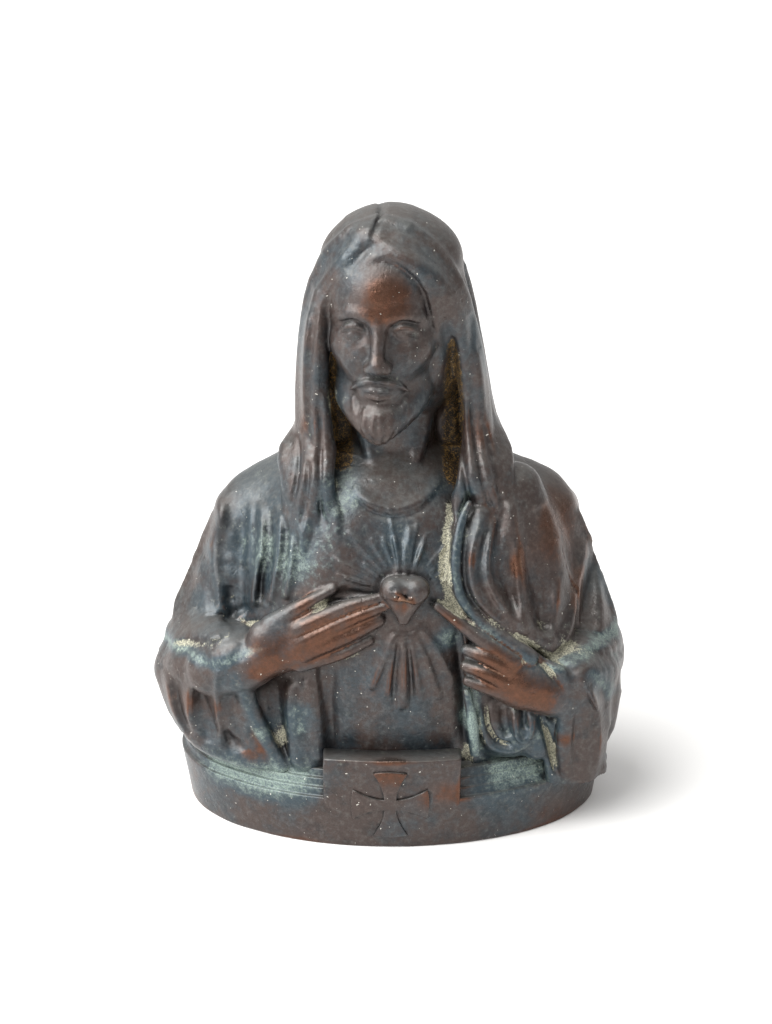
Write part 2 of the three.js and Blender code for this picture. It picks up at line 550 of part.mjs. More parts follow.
function leftSleeve() {
  const forearm = joined(4,
    limb([[-55, -9, 50], [-52, -20, 53], [-46, -31, 57.5]], [14, 12, 9.5]),
    limb([[-63, -13, 45.4], [-60.3, -16, 36.2], [-56.8, -18, 28.5]], [8.4, 7.6, 6.2]),
    limb([[-57.6, -20, 49.8], [-55.6, -22.4, 39.2], [-50.7, -24.4, 28.3]], [8.6, 7.6, 5.6]),
    limb([[-49.6, -28.6, 52.4], [-46.3, -29.8, 41.3], [-40, -31, 27.5]], [7.2, 5.8, 3.6]),
    limb([[-56.1, -24.4, 28.3], [-45.1, -30.8, 24.8], [-32.9, -32.6, 23.1]], [3.6, 3, 2]),
    limb([[-44, -35, 54], [-41, -35.2, 43.2], [-36.8, -34.8, 32.7], [-32.2, -33.4, 23.8]],
      [2.2, 2, 1.8, 1.6]));
  const folds = [
    fold([[-67.2, 48.5], [-65.7, 38.1], [-61.6, 27.8]], 1.6, 1),
    fold([[-63.5, 48.1], [-62.8, 39], [-59.7, 30.3]], 1.4, -0.8),
    fold([[-57.5, 55.4], [-59.6, 45], [-60.1, 31]], 1.6, 1.5),
    fold([[-54.8, 51.8], [-55.7, 42.7], [-54.6, 28.5]], 1.8, -1.2),
    fold([[-50.4, 57], [-51.3, 44.1], [-50.3, 27.5]], 1.5, 1.5),
    fold([[-47, 49.6], [-46.6, 41.8], [-43.7, 27.9]], 1.6, -1.1),
    fold([[-61.7, 27.5], [-58.8, 29.7], [-56.2, 32]], 1.2, 0.6)];
  const lining = [
    limb([[-36.7, -24.6, 43.5], [-32.5, -27.6, 22.6]], [6.6, 6]),
    limb([[-39.1, -30, 45.3], [-38, -31.6, 36.3], [-35.5, -32, 25.1]], [1.8, 2.1, 1.9]),
    limb([[-26.5, -30.6, 43.6], [-25.2, -31.6, 25.2]], [5.4, 5.6]),
    limb([[-29, -33.2, 48.1], [-28.8, -34, 38.8], [-27.7, -34.6, 26.7]], [1.8, 2.1, 2.1]),
    limb([[-24.2, -34.8, 50.1], [-22.8, -35.6, 40.5], [-21.5, -36.2, 28.1]], [1.8, 2, 2])];
  return joined(1, dressed(forearm, folds, FRONT), joined(2.6, ...lining));
}

function rightSleeve() {
  const forearm = joined(3.5,
    limb([[55, -9, 47.5], [55, -20, 48.5], [52.5, -29, 50.5]], [14.8, 12.4, 10]),
    limb([[62.3, -17, 40], [61.3, -18, 29.8], [59.2, -17, 18.7]], [6.3, 5.8, 4.4]),
    limb([[58.8, -26, 44.1], [60.4, -26, 31], [60.7, -23, 15.6]], [5, 4.6, 3.6]),
    limb([[57.4, -18, 40.4], [57.5, -17, 16.7]], [7.6, 5]),
    limb([[53.9, -25, 42.3], [54, -23.6, 28.2], [54.5, -21, 15.3]], [8.6, 8.4, 7]));
  const cuff = limb([[45.8, -37.4, 57.7], [49, -38, 54.8], [50.9, -37.4, 48.7], [50.9, -35.8, 40.6],
    [50.7, -33.6, 29.8], [52.1, -30.4, 16.7]],
    [1.4, 2, 2.3, 2.5, 2.6, 2.3]);
  const grooves = [limb([[53.9, -36.4, 47.6], [55.3, -35.4, 41.4], [55.4, -33.4, 31.3], [55.3, -30.4, 20]],
    [0.6, 1.2, 1.4, 0.9])];
  const folds = [
    fold([[57.5, 50.5], [60.2, 41.8], [61.2, 29.9], [60.5, 17.1]], 1.5, 2),
    fold([[64, 32.8], [64.2, 25.5], [63.2, 18.8]], 1.6, -0.8)];
  const lining = [
    limb([[47.3, -30, 35.6], [49.6, -28, 14.1]], [3.8, 3.6]),
    limb([[55.4, -30, 42.7], [55.9, -26.6, 17.4]], [6, 5.4]),
    limb([[46.6, -28.6, 15.1], [53.2, -28, 13.5], [59.5, -24, 14.5], [62.7, -19, 19]], [2, 2.4, 2.4, 2]),
    limb([[42.3, -33.6, 38.3], [45.2, -33, 29.5], [48, -30.4, 16]], [1.2, 1.4, 1.4]),
    blob([34.2, -31, 36], [12.4, 6.4, 11]),
    limb([[40.1, -31, 38.3], [42.6, -31, 29.5]], [5, 5.2])];
  const swags = [
    fold([[25.4, 46.6], [26.1, 37], [29.4, 30.5], [35.3, 29.2], [41.1, 31.9]], 1.5, 1.5),
    fold([[27.1, 44.7], [28.1, 37.6], [31.1, 32.7], [35.2, 31.4]], 0.7, -1.6),
    fold([[32.7, 44.1], [32.8, 38.9], [34.3, 34]], 1.8, -2),
    fold([[35.9, 43.4], [36.3, 35.3], [38.4, 32.7], [40.8, 34.9], [41.5, 41]], 1, 1.3),
    fold([[38.5, 43.4], [38.7, 36.3]], 1, -1.5),
    fold([[43.1, 39.9], [45.9, 31.5], [48.6, 19.3]], 1, -1.4)];
  const sleeve = joined(1, carved(1, forearm, ...grooves), cuff);
  return dressed(joined(1.2, dressed(sleeve, folds, FRONT), ...lining), swags, FRONT);
}

function hand(wrist, palm, fingers) {
  return joined(1.2, joined(3, ...wrist, ...palm), joined(0.3, ...fingers));
}

function rightHand() {
  return hand(
    [limb([[-52.2, -29, 52.6], [-42.8, -34, 55.8], [-36, -35.4, 60.6]], [8.4, 7.6, 6.8]),
      blob([-25.7, -35.6, 70.8], [7.6, 3, 4.4], 0, 28)],
    [
      blob([-30.7, -36.4, 62.6], [10, 4.8, 7.4], 0, 20),
      blob([-17.4, -34.8, 67.9], [21, 4.2, 7.4], 0, 22),
      limb([[-37.6, -36.2, 66.6], [-30.6, -36.8, 70]], [3.8, 2.8]),
      limb([[-25.5, -36.8, 63.7], [-13.9, -37, 68.2], [-5.8, -36.6, 72.4]], [5, 3.6, 2.6])],
    [
      limb([[-35.2, -36.4, 69.9], [-26.5, -36.8, 75.3], [-16.9, -36, 80.6]], [2.6, 2.2, 1.3]),
      limb([[-27.1, -38.6, 69.2], [-13.5, -39, 76], [-2.9, -38.4, 79.1]], [2.5, 2.1, 1.4]),
      limb([[-25.9, -39.4, 65.8], [-12.6, -39.6, 72.5], [-2, -38.8, 76.5]], [2.5, 2.1, 1.4]),
      limb([[-25.4, -39.2, 61.9], [-12.1, -39.4, 67.7], [-3.5, -38.6, 71.7]], [2.5, 2.1, 1.4]),
      limb([[-26.6, -38, 57.9], [-14.4, -38.4, 61.6], [-6.4, -37.8, 65.4]], [2.5, 2, 1.4])]);
}

function leftHand() {
  return hand(
    [limb([[53.9, -29, 44.2], [46.8, -34, 47.2], [39.6, -37.2, 50.6]], [7.6, 7.2, 6.8])],
    [blob([35.7, -38.6, 53.1], [9.6, 4.4, 8], 0, -25), blob([28.2, -36.4, 57.5], [8, 4, 8], 0, -25)],
    [
      limb([[34.6, -40.2, 60.2], [23.6, -39.6, 68.1], [12.9, -38, 76.2]], [3, 2.2, 1.2]),
      limb([[39.9, -39.2, 60.7], [30.5, -39, 67.8], [22.5, -37.6, 71.6]], [2.4, 1.8, 1.2]),
      limb([[33.2, -41, 58], [27.1, -41.4, 61.7], [21.6, -39.6, 63.1]], [2.5, 2.2, 1.7]),
      limb([[33, -41, 53.6], [27.1, -41.4, 56.6], [21.4, -39.6, 58]], [2.5, 2.2, 1.7]),
      limb([[34.2, -40, 49.3], [27.8, -40.4, 51.4], [22, -39.2, 53.1]], [2.3, 2, 1.6])]);
}

// The heart with its crown of thorns.
function heart() {
  const lobes = [
    limb([[0.6, -38.6, 81.4], [3.4, -39, 72.5]], [4.1, 1.5]),
    limb([[6.9, -38.6, 81.4], [3.4, -39, 72.5]], [4.1, 1.5])];
  const thorns = limb([[-2.3, -41, 81.8], [0.6, -42.4, 80.2], [5.7, -42.4, 79.9], [10, -41, 82.1]],
    [0.4, 0.5, 0.5, 0.4]);
  const body = joined(1.6, ...lobes, blob([3.7, -38.2, 82.5], [2.6, 3, 2.8]));
  return joined(0.6, body, thorns);
}

function figure() {
  const head = placedHead(joined(1.1, face(), beard()));
  const clothed = joined(1.6, tunic(), mantle(), leftSleeve(), rightSleeve());
  const creases = [
    fold([[-11.5, 107.9], [-6, 104.7], [1.4, 102.9], [8.6, 104.7], [14.4, 108.5]], 1.6, 1.1),
    fold([[-10.3, 105.2], [-5.2, 101.6], [1.4, 100.2], [8, 101.6], [13.2, 105.2]], 0.8, -0.5),
    fold([[-70.4, 51.3], [-60.9, 58.8], [-52.1, 62.6], [-44.5, 66.7], [-37.3, 71.4]], 1.3, -0.8),
    fold([[-67.4, 55.4], [-57.8, 62.8], [-49.4, 66]], 1.8, 0.8),
    fold([[45.2, 59.2], [52.4, 59.3], [60.6, 56.4], [69.3, 50.5]], 1.2, -1),
    fold([[57.2, 55.2], [61, 47.6], [63.2, 40.4]], 1.4, -0.8),
    fold([[53.7, 55.7], [58.1, 48.5], [60.5, 41.8]], 1.2, 1),
    fold([[1.4, 84.2], [2, 90], [0.6, 95.8]], 1.1, 1),
    fold([[3.7, 84.2], [4.6, 91.2], [5.4, 98.2]], 1.2, 1.2),
    fold([[6, 84.2], [7.4, 89.1], [9.4, 93.6]], 1.1, 1)];
  const body = dressed(joined(1.5, clothed, neck()), creases, FRONT);
  const hollows = [
    limb([[-18, -19, 148], [-17, -16, 130], [-16, -19, 114]], [1.2, 2.4, 1.8]),
    blob([17.2, -23, 129], [2.5, 10, 23])];
  const bare = carved(1, joined(0.8, joined(1, body, head), hair()), ...hollows);
  return joined(0.9, bare, border(), rightHand(), leftHand(), heart());
}
// The surface of a form as triangles: the space is divided in tetrahedra and each is crossed where
// the depth changes sign, which always gives one closed surface for each solid.
function surfaceOf(form, cell, low, high) {
  const count = [0, 1, 2].map((i) => Math.ceil((high[i] - low[i]) / cell) + 1);
  const [nx, ny, nz] = count;
  const depth = new Float32Array(nx * ny * nz);
  const id = (i, j, k) => i + nx * (j + ny * k);
  const block = 6;
  const skip = block * cell * 1.3 + 3;
  for (let k0 = 0; k0 < nz; k0 += block)
    for (let j0 = 0; j0 < ny; j0 += block)
      for (let i0 = 0; i0 < nx; i0 += block) {
        const at = (v, axis) => low[axis] + (v + block / 2) * cell;
        const middle = form.depth(at(i0, 0), at(j0, 1), at(k0, 2));
        const far = abs(middle) > skip;
        for (let k = k0; k < min(nz, k0 + block); k++)
          for (let j = j0; j < min(ny, j0 + block); j++)
            for (let i = i0; i < min(nx, i0 + block); i++) {
              const d = far ? middle : form.depth(low[0] + i * cell, low[1] + j * cell, low[2] + k * cell);
              depth[id(i, j, k)] = d === 0 ? 1e-6 : d;
            }
      }
  const corners = [[0, 0, 0], [1, 0, 0], [0, 1, 0], [0, 0, 1], [1, 1, 0], [1, 0, 1], [0, 1, 1], [1, 1, 1]];
  const cornerOffset = corners.map(([i, j, k]) => id(i, j, k));
  const tetrahedra = [[0, 1, 4, 7], [0, 4, 2, 7], [0, 2, 6, 7], [0, 6, 3, 7], [0, 3, 5, 7], [0, 5, 1, 7]];
  const directionOf = new Map(corners.slice(1).map(([i, j, k], n) => [id(i, j, k), n]));
  const vertexOn = new Int32Array(7 * depth.length).fill(-1);
  const positions = [];
  const triangles = [];
  const placeOf = (n, out) => {
    out[0] = low[0] + (n % nx) * cell;
    out[1] = low[1] + (Math.floor(n / nx) % ny) * cell;
    out[2] = low[2] + Math.floor(n / (nx * ny)) * cell;
  };
  const a = [0, 0, 0];
  const b = [0, 0, 0];
  const crossing = (p, q) => {
    const [lo, hi] = p < q ? [p, q] : [q, p];
    const slot = lo * 7 + directionOf.get(hi - lo);
    if (vertexOn[slot] < 0) {
      placeOf(lo, a);
      placeOf(hi, b);
      const t = clamp(depth[lo] / (depth[lo] - depth[hi]), 0.04, 0.96);
      vertexOn[slot] = positions.length / 3;
      positions.push(mix(a[0], b[0], t), mix(a[1], b[1], t), mix(a[2], b[2], t));
    }
    return vertexOn[slot];
  };
  for (let k = 0; k < nz - 1; k++)
    for (let j = 0; j < ny - 1; j++)
      for (let i = 0; i < nx - 1; i++) {
        const origin = id(i, j, k);
        let inside = 0;
        for (const o of cornerOffset) if (depth[origin + o] < 0) inside++;
        if (inside === 0 || inside === 8) continue;
        for (const t of tetrahedra) {
          const v = t.map((c) => origin + cornerOffset[c]);
          const ins = [0, 1, 2, 3].filter((n) => depth[v[n]] < 0);
          const outs = [0, 1, 2, 3].filter((n) => depth[v[n]] >= 0);
          if (!ins.length || !outs.length) continue;
          const order = [...ins, ...outs];
          let swaps = 0;
          for (let m = 0; m < 4; m++) for (let n = m + 1; n < 4; n++) if (order[m] > order[n]) swaps++;
          const flip = swaps % 2 === 1;
          const add = (p, q, r) => (flip ? triangles.push(p, r, q) : triangles.push(p, q, r));
          const [A, B, C, D] = order.map((n) => v[n]);
          if (ins.length === 1) add(crossing(A, B), crossing(A, C), crossing(A, D));
          else if (ins.length === 3) add(crossing(A, D), crossing(B, D), crossing(C, D));
          else {
            add(crossing(A, C), crossing(A, D), crossing(B, D));
            add(crossing(A, C), crossing(B, D), crossing(B, C));
          }
        }
      }
  return { positions, triangles };
}

// Evens out the small steps that the cells leave, by moving each vertex towards its neighbours.
function eased({ positions, triangles }, share = 0.5, times = 2) {
  for (let n = 0; n < times; n++) {
    const sum = new Float64Array(positions.length);
    const count = new Float64Array(positions.length / 3);
    for (let f = 0; f < triangles.length; f += 3)
      for (let i = 0; i < 3; i++) {
        const [v, w] = [triangles[f + i], triangles[f + ((i + 1) % 3)]];
        for (let axis = 0; axis < 3; axis++) sum[v * 3 + axis] += positions[w * 3 + axis];
        count[v]++;
      }
    for (let i = 0; i < positions.length; i++)
      positions[i] = mix(positions[i], sum[i] / count[Math.floor(i / 3)], share);
  }
  return { positions, triangles };
}

// Removes the least needed edges one by one until the wanted number of triangles is left. What an
// edge costs is how far its merged end would lie from the planes around it.
function simplified({ positions, triangles }, wanted, worthAt) {
  const vertexCount = positions.length / 3;
  const faces = Int32Array.from(triangles);
  const faceCount = faces.length / 3;
  const alive = new Uint8Array(faceCount).fill(1);
  const place = Float64Array.from(positions);
  const around = Array.from({ length: vertexCount }, () => []);
  const quadric = new Float64Array(vertexCount * 10);
  const stamp = new Int32Array(vertexCount);
  const normalOf = (a, b, c) => {
    const ux = place[b * 3] - place[a * 3];
    const uy = place[b * 3 + 1] - place[a * 3 + 1];
    const uz = place[b * 3 + 2] - place[a * 3 + 2];
    const vx = place[c * 3] - place[a * 3];
    const vy = place[c * 3 + 1] - place[a * 3 + 1];
    const vz = place[c * 3 + 2] - place[a * 3 + 2];
    return [uy * vz - uz * vy, uz * vx - ux * vz, ux * vy - uy * vx];
  };
  for (let f = 0; f < faceCount; f++) {
    const [a, b, c] = [faces[f * 3], faces[f * 3 + 1], faces[f * 3 + 2]];
    const n = normalOf(a, b, c);
    const size = hypot(...n) || 1e-12;
    const weight = size * worthAt(place[a * 3], place[a * 3 + 1], place[a * 3 + 2]);
    const [x, y, z] = n.map((v) => v / size);
    const w = -(x * place[a * 3] + y * place[a * 3 + 1] + z * place[a * 3 + 2]);
    const terms = [x * x, x * y, x * z, x * w, y * y, y * z, y * w, z * z, z * w, w * w];
    for (const v of [a, b, c]) {
      around[v].push(f);
      for (let i = 0; i < 10; i++) quadric[v * 10 + i] += terms[i] * weight;
    }
  }
  const errorAt = (q, x, y, z) =>
    q[0] * x * x + 2 * q[1] * x * y + 2 * q[2] * x * z + 2 * q[3] * x +
    q[4] * y * y + 2 * q[5] * y * z + 2 * q[6] * y +
    q[7] * z * z + 2 * q[8] * z + q[9];
  const q = new Float64Array(10);
  const best = (u, v) => {
    for (let i = 0; i < 10; i++) q[i] = quadric[u * 10 + i] + quadric[v * 10 + i];
    const [a, b, c, d, e, f, g, h, k] = q;
    const det = a * (e * h - f * f) - b * (b * h - f * c) + c * (b * f - e * c);
    const options = [];
    const [ux, uy, uz] = [place[u * 3], place[u * 3 + 1], place[u * 3 + 2]];
    const [vx, vy, vz] = [place[v * 3], place[v * 3 + 1], place[v * 3 + 2]];
    const length = hypot(ux - vx, uy - vy, uz - vz);
    if (abs(det) > 1e-7 * (a + e + h) ** 3) {
      const x = -(d * (e * h - f * f) - b * (g * h - f * k) + c * (g * f - e * k)) / det;
      const y = -(a * (g * h - k * f) - d * (b * h - f * c) + c * (b * k - g * c)) / det;
      const z = -(a * (e * k - g * f) - b * (b * k - g * c) + d * (b * f - e * c)) / det;
      if (hypot(x - ux, y - uy, z - uz) < 2 * length + 1e-6) options.push([x, y, z]);
    }
    if (!options.length) options.push([(ux + vx) / 2, (uy + vy) / 2, (uz + vz) / 2], [ux, uy, uz],
      [vx, vy, vz]);
    let found = null;
    for (const [x, y, z] of options) {
      const cost = max(0, errorAt(q, x, y, z)) + 1e-5 * length * length;
      if (!found || cost < found[0]) found = [cost, x, y, z];
    }
    return found;
  };
  const heap = [];
  const push = (item) => {
    heap.push(item);
    let i = heap.length - 1;
    while (i > 0) {
      const parent = (i - 1) >> 1;
      if (heap[parent][0] <= heap[i][0]) break;
      [heap[parent], heap[i]] = [heap[i], heap[parent]];
      i = parent;
    }
  };
  const pop = () => {
    const top = heap[0];
    const last = heap.pop();
    if (heap.length) {
      heap[0] = last;
      let i = 0;
      for (;;) {
        const l = 2 * i + 1;
        const r = l + 1;
        let least = i;
        if (l < heap.length && heap[l][0] < heap[least][0]) least = l;
        if (r < heap.length && heap[r][0] < heap[least][0]) least = r;
        if (least === i) break;
        [heap[least], heap[i]] = [heap[i], heap[least]];
        i = least;
      }
    }
    return top;
  };
  const queue = (u, v) => {
    const [cost, x, y, z] = best(u, v);
    push([cost, u, v, stamp[u] + stamp[v], x, y, z]);
  };
  const neighbours = (v) => {
    const found = new Set();
    for (const f of around[v])
      if (alive[f]) for (let i = 0; i < 3; i++) found.add(faces[f * 3 + i]);
    found.delete(v);
    return found;
  };
  for (let f = 0; f < faceCount; f++)
    for (let i = 0; i < 3; i++) {
      const u = faces[f * 3 + i];
      const v = faces[f * 3 + ((i + 1) % 3)];
      if (u < v) queue(u, v);
    }
  const turnsOver = (v, other, x, y, z) => {
    for (const f of around[v]) {
      if (!alive[f]) continue;
      const corner = [faces[f * 3], faces[f * 3 + 1], faces[f * 3 + 2]];
      if (corner.includes(other)) continue;
      const before = normalOf(...corner);
      const kept = [place[v * 3], place[v * 3 + 1], place[v * 3 + 2]];
      [place[v * 3], place[v * 3 + 1], place[v * 3 + 2]] = [x, y, z];
      const after = normalOf(...corner);
      [place[v * 3], place[v * 3 + 1], place[v * 3 + 2]] = kept;
      const dot = before[0] * after[0] + before[1] * after[1] + before[2] * after[2];
      if (dot < 0.25 * hypot(...before) * hypot(...after)) return true;
    }
    return false;
  };
  let left = faceCount;
  while (left > wanted && heap.length) {
    const [, u, v, when, x, y, z] = pop();
    if (stamp[u] < 0 || stamp[v] < 0 || when !== stamp[u] + stamp[v]) continue;
    const near = neighbours(u);
    if (!near.has(v)) continue;
    let shared = 0;
    for (const n of neighbours(v)) if (near.has(n)) shared++;
    if (shared !== 2 || turnsOver(u, v, x, y, z) || turnsOver(v, u, x, y, z)) continue;
    [place[u * 3], place[u * 3 + 1], place[u * 3 + 2]] = [x, y, z];
    for (let i = 0; i < 10; i++) quadric[u * 10 + i] += quadric[v * 10 + i];
    for (const f of around[v]) {
      if (!alive[f]) continue;
      const corner = [faces[f * 3], faces[f * 3 + 1], faces[f * 3 + 2]];
      if (corner.includes(u)) {
        alive[f] = 0;
        left--;
      } else {
        faces[f * 3 + corner.indexOf(v)] = u;
        around[u].push(f);
      }
    }
    around[u] = around[u].filter((f) => alive[f]);
    stamp[v] = -1e9;
    stamp[u] += 1e3;
    for (const n of neighbours(u)) queue(u, n);
  }
  const geometry = new THREE.BufferGeometry();
  const renamed = new Map();
  const kept = [];
  const points = [];
  for (let f = 0; f < faceCount; f++) {
    if (!alive[f]) continue;
    for (let i = 0; i < 3; i++) {
      const v = faces[f * 3 + i];
      if (!renamed.has(v)) {
        renamed.set(v, points.length / 3);
        points.push(place[v * 3], place[v * 3 + 1], place[v * 3 + 2]);
      }
      kept.push(renamed.get(v));
    }
  }
  geometry.setAttribute("position", new THREE.Float32BufferAttribute(points, 3));
  geometry.setIndex(kept);
  return geometry;
}

const wasm = await Module();
wasm.setup();

// A closed geometry as a solid for joining and cutting.
function solidOf(geometry) {
  const bare = new THREE.BufferGeometry().setAttribute("position", geometry.getAttribute("position"));
  const merged = geometry.index ? geometry : mergeVertices(bare, 1e-4);
  return new wasm.Manifold(
    new wasm.Mesh({
      numProp: 3,
      vertProperties: Float32Array.from(merged.attributes.position.array),
      triVerts: Uint32Array.from(merged.index.array),
    }),
  );
}

function geometryOf(solid) {
  const mesh = solid.getMesh();
  const geometry = new THREE.BufferGeometry();
  geometry.setAttribute("position", new THREE.Float32BufferAttribute(mesh.vertProperties, 3));
  geometry.setIndex(new THREE.Uint32BufferAttribute(mesh.triVerts, 1));
  const flat = geometry.toNonIndexed();
  flat.computeVertexNormals();
  return flat;
}

// A closed body through rings that lie one above the other, each a list of [x, y, z].
function loft(rings) {
  const around = rings[0].length;
  const positions = rings.flat(2);
  const index = [];
  for (let r = 0; r < rings.length - 1; r++)
    for (let i = 0; i < around; i++) {
      const next = (i + 1) % around;
      const [a, b, c, d] = [r * around + i, r * around + next, (r + 1) * around + next,
        (r + 1) * around + i];
      index.push(a, b, c, a, c, d);
    }
  [0, rings.length - 1].forEach((r, end) => {
    const middle = positions.length / 3;
    const sum = [0, 1, 2].map((axis) => rings[r].reduce((total, p) => total + p[axis], 0) / around);
    positions.push(...sum);
    for (let i = 0; i < around; i++) {
      const a = r * around + i;
      const b = r * around + ((i + 1) % around);
      index.push(middle, end ? a : b, end ? b : a);
    }
  });
  const geometry = new THREE.BufferGeometry();
  geometry.setAttribute("position", new THREE.Float32BufferAttribute(positions, 3));
  geometry.setIndex(index);
  return geometry;
}

// The base: an oval drum with a battered band and small steps above it.
function baseGeometry() {
  const profile = [[0, BAND_BATTER], [BAND_HEIGHT, 0]];
  const rise = MOULDING_HEIGHT / MOULDING_STEPS;
  for (let i = 1; i <= MOULDING_STEPS; i++) {
    const level = BAND_HEIGHT + (i - 1) * rise;
    profile.push([level + rise * 0.1, i * MOULDING_SETBACK],
      [level + rise, i * MOULDING_SETBACK + rise * 0.1]);
  }
  const around = 96;
  const ring = ([z, inset]) =>
    Array.from({ length: around }, (_, i) => {
      const angle = (2 * PI * i) / around;
      return [(BASE_WIDTH / 2 - inset) * cos(angle), (BASE_DEPTH / 2 - inset) * sin(angle), z];
    });
  return loft(profile.map(ring));
}

// Where the panel's face lies, in front of the middle of the base.
const panelFace = (x, z) =>
  -(BASE_DEPTH / 2 + (z - BAND_HEIGHT) * BATTER) * sqrt(1 - ((2 * x) / PANEL_OVAL) ** 2);

function panelGeometry() {
  const pieces = 8;
  const back = panelFace(0, PANEL_HEIGHT) + PANEL_THICKNESS;
  const ring = ([z, inset]) => {
    const half = PANEL_WIDTH / 2 - inset;
    const front = Array.from({ length: pieces + 1 }, (_, i) => {
      const x = mix(-half, half, i / pieces);
      return [x, panelFace(x, z) + inset, z];
    });
    return [...front, [half, back, z], [-half, back, z]];
  };
  const edge = 0.6;
  return loft([[0, 0], [PANEL_HEIGHT - edge, 0], [PANEL_HEIGHT, edge]].map(ring));
}

// A cross with four arms that widen outwards with hollow sides, leaning with the panel's face.
function crossGeometry() {
  const reach = CROSS_SPAN / 2 - CROSS_BEVEL;
  const waist = reach * 0.16;
  const tip = reach * 0.46;
  const shape = new THREE.Shape();
  for (let i = 0; i < 4; i++) {
    const turned = (along, across) => {
      const angle = (i * PI) / 2;
      return [along * cos(angle) - across * sin(angle), along * sin(angle) + across * cos(angle)];
    };
    if (i === 0) shape.moveTo(...turned(waist, -waist));
    shape.quadraticCurveTo(...turned(reach * 0.62, -waist), ...turned(reach * 0.93, -tip));
    shape.quadraticCurveTo(...turned(reach * 1.06, 0), ...turned(reach * 0.93, tip));
    shape.quadraticCurveTo(...turned(reach * 0.62, waist), ...turned(waist, waist));
  }
  const geometry = new THREE.ExtrudeGeometry(shape, {
    depth: 2 * CROSS_PROUD,
    curveSegments: 3,
    bevelSize: CROSS_BEVEL,
    bevelThickness: CROSS_BEVEL,
    bevelSegments: 1,
  });
  geometry.translate(0, 0, -CROSS_PROUD - CROSS_BEVEL);
  geometry.rotateX(PI / 2 + Math.atan(BATTER));
  geometry.translate(-0.5, panelFace(0, CROSS_RISE), CROSS_RISE);
  return geometry;
}

// How much a place matters when the surface is simplified: face and hands most, the back least.
function worth(x, y, z) {
  const head = z > 118 && y < -12 && abs(x) < 18;
  const hands = z > 48 && z < 84 && y < -36 && abs(x) < 46;
  return head ? 8 : hands ? 5 : y < 0 ? 1 : 0.4;
}

function figureGeometry() {
  const form = figure();
  const made = eased(surfaceOf(form, CELL, [-78, -58, 4], [78, 44, 194]));
  const geometry = simplified(made, FIGURE_TRIANGLES, worth);
  geometry.translate(0, 0, -HEM_LEVEL);
  geometry.scale(SHARE, SHARE, SHARE);
  geometry.translate(0, 0, BASE_HEIGHT);
  return geometry;
}

const pieces = [figureGeometry(), baseGeometry(), panelGeometry(), crossGeometry()].map(solidOf);
const bust = new THREE.Mesh(
  geometryOf(wasm.Manifold.union(pieces)),
  new THREE.MeshStandardMaterial({ color: 0x4a3a34, roughness: 0.5, metalness: 0.6 }),
);
bust.name = "sacred_heart_bust";

const part = new THREE.Group();
part.add(bust);
export default part;
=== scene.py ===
# Sacred heart bust: a half-length devotional figure, cast in bronze in one piece with its oval base.
# The sections follow the casting from the ground up: the base, its panel and cross, then the figure
# that was modelled by hand before it was cast. Lengths are millimetres until a mesh is finished.
import math
import bmesh
import bpy
import numpy as np
from mathutils import Matrix, Vector, noise
from mathutils.bvhtree import BVHTree


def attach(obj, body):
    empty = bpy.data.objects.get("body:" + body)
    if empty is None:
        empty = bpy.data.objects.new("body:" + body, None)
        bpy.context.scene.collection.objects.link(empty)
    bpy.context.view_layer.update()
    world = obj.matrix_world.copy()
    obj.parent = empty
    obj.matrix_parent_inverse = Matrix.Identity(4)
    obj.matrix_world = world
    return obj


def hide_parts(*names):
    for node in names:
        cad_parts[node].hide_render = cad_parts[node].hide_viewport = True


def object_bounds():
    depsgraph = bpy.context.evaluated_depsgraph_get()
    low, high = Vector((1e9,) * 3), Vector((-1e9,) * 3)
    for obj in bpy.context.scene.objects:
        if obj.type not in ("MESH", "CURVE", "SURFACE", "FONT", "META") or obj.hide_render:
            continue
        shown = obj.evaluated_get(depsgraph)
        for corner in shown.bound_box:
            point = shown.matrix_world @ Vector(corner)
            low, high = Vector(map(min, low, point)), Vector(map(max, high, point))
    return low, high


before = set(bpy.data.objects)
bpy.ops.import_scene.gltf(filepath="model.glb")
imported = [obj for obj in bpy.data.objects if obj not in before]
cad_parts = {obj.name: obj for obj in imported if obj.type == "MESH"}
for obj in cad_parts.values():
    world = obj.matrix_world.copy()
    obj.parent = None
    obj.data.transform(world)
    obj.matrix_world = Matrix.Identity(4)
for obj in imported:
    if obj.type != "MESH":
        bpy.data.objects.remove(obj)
cad_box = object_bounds()
MM = 0.001
noise.seed_set(1)  # without a seed the waver of the base, panel and cross changes from run to run


# The base: a low oval band that leans out a little from its foot, with three small steps of moulding
# above it. It was worked up by hand as a rough oval, so its faces waver, and cast with the figure.
BASE_WIDTH, BASE_DEPTH = 129.5, 88  # across the band's top edge
BAND_HEIGHT, BAND_BATTER = 16.5, 2.7
MOULDING_STEPS, MOULDING_STEP, MOULDING_SETBACK = 3, 2.5, 1.3
BASE_HEIGHT = BAND_HEIGHT + MOULDING_STEPS * MOULDING_STEP
BATTER = BAND_BATTER / BAND_HEIGHT
BASE_SIDES, BAND_RINGS = 220, 9
BASE_EDGE = 0.6  # how far its edges are rounded
BASE_MIDDLE = 3  # half depth of the top's last ring, hidden under the figure
# On the right the moulding has slumped to a soft slope: how far towards it, where it starts and how
# wide the change is, and how far in from the rim it reaches.
SLUMP, SLUMP_FROM, SLUMP_OVER, SLUMP_REACH = 0.75, 12, 14, 5
WAVER, WAVER_GRAIN = 0.22, 11  # how far its faces waver, and how wide the waves are

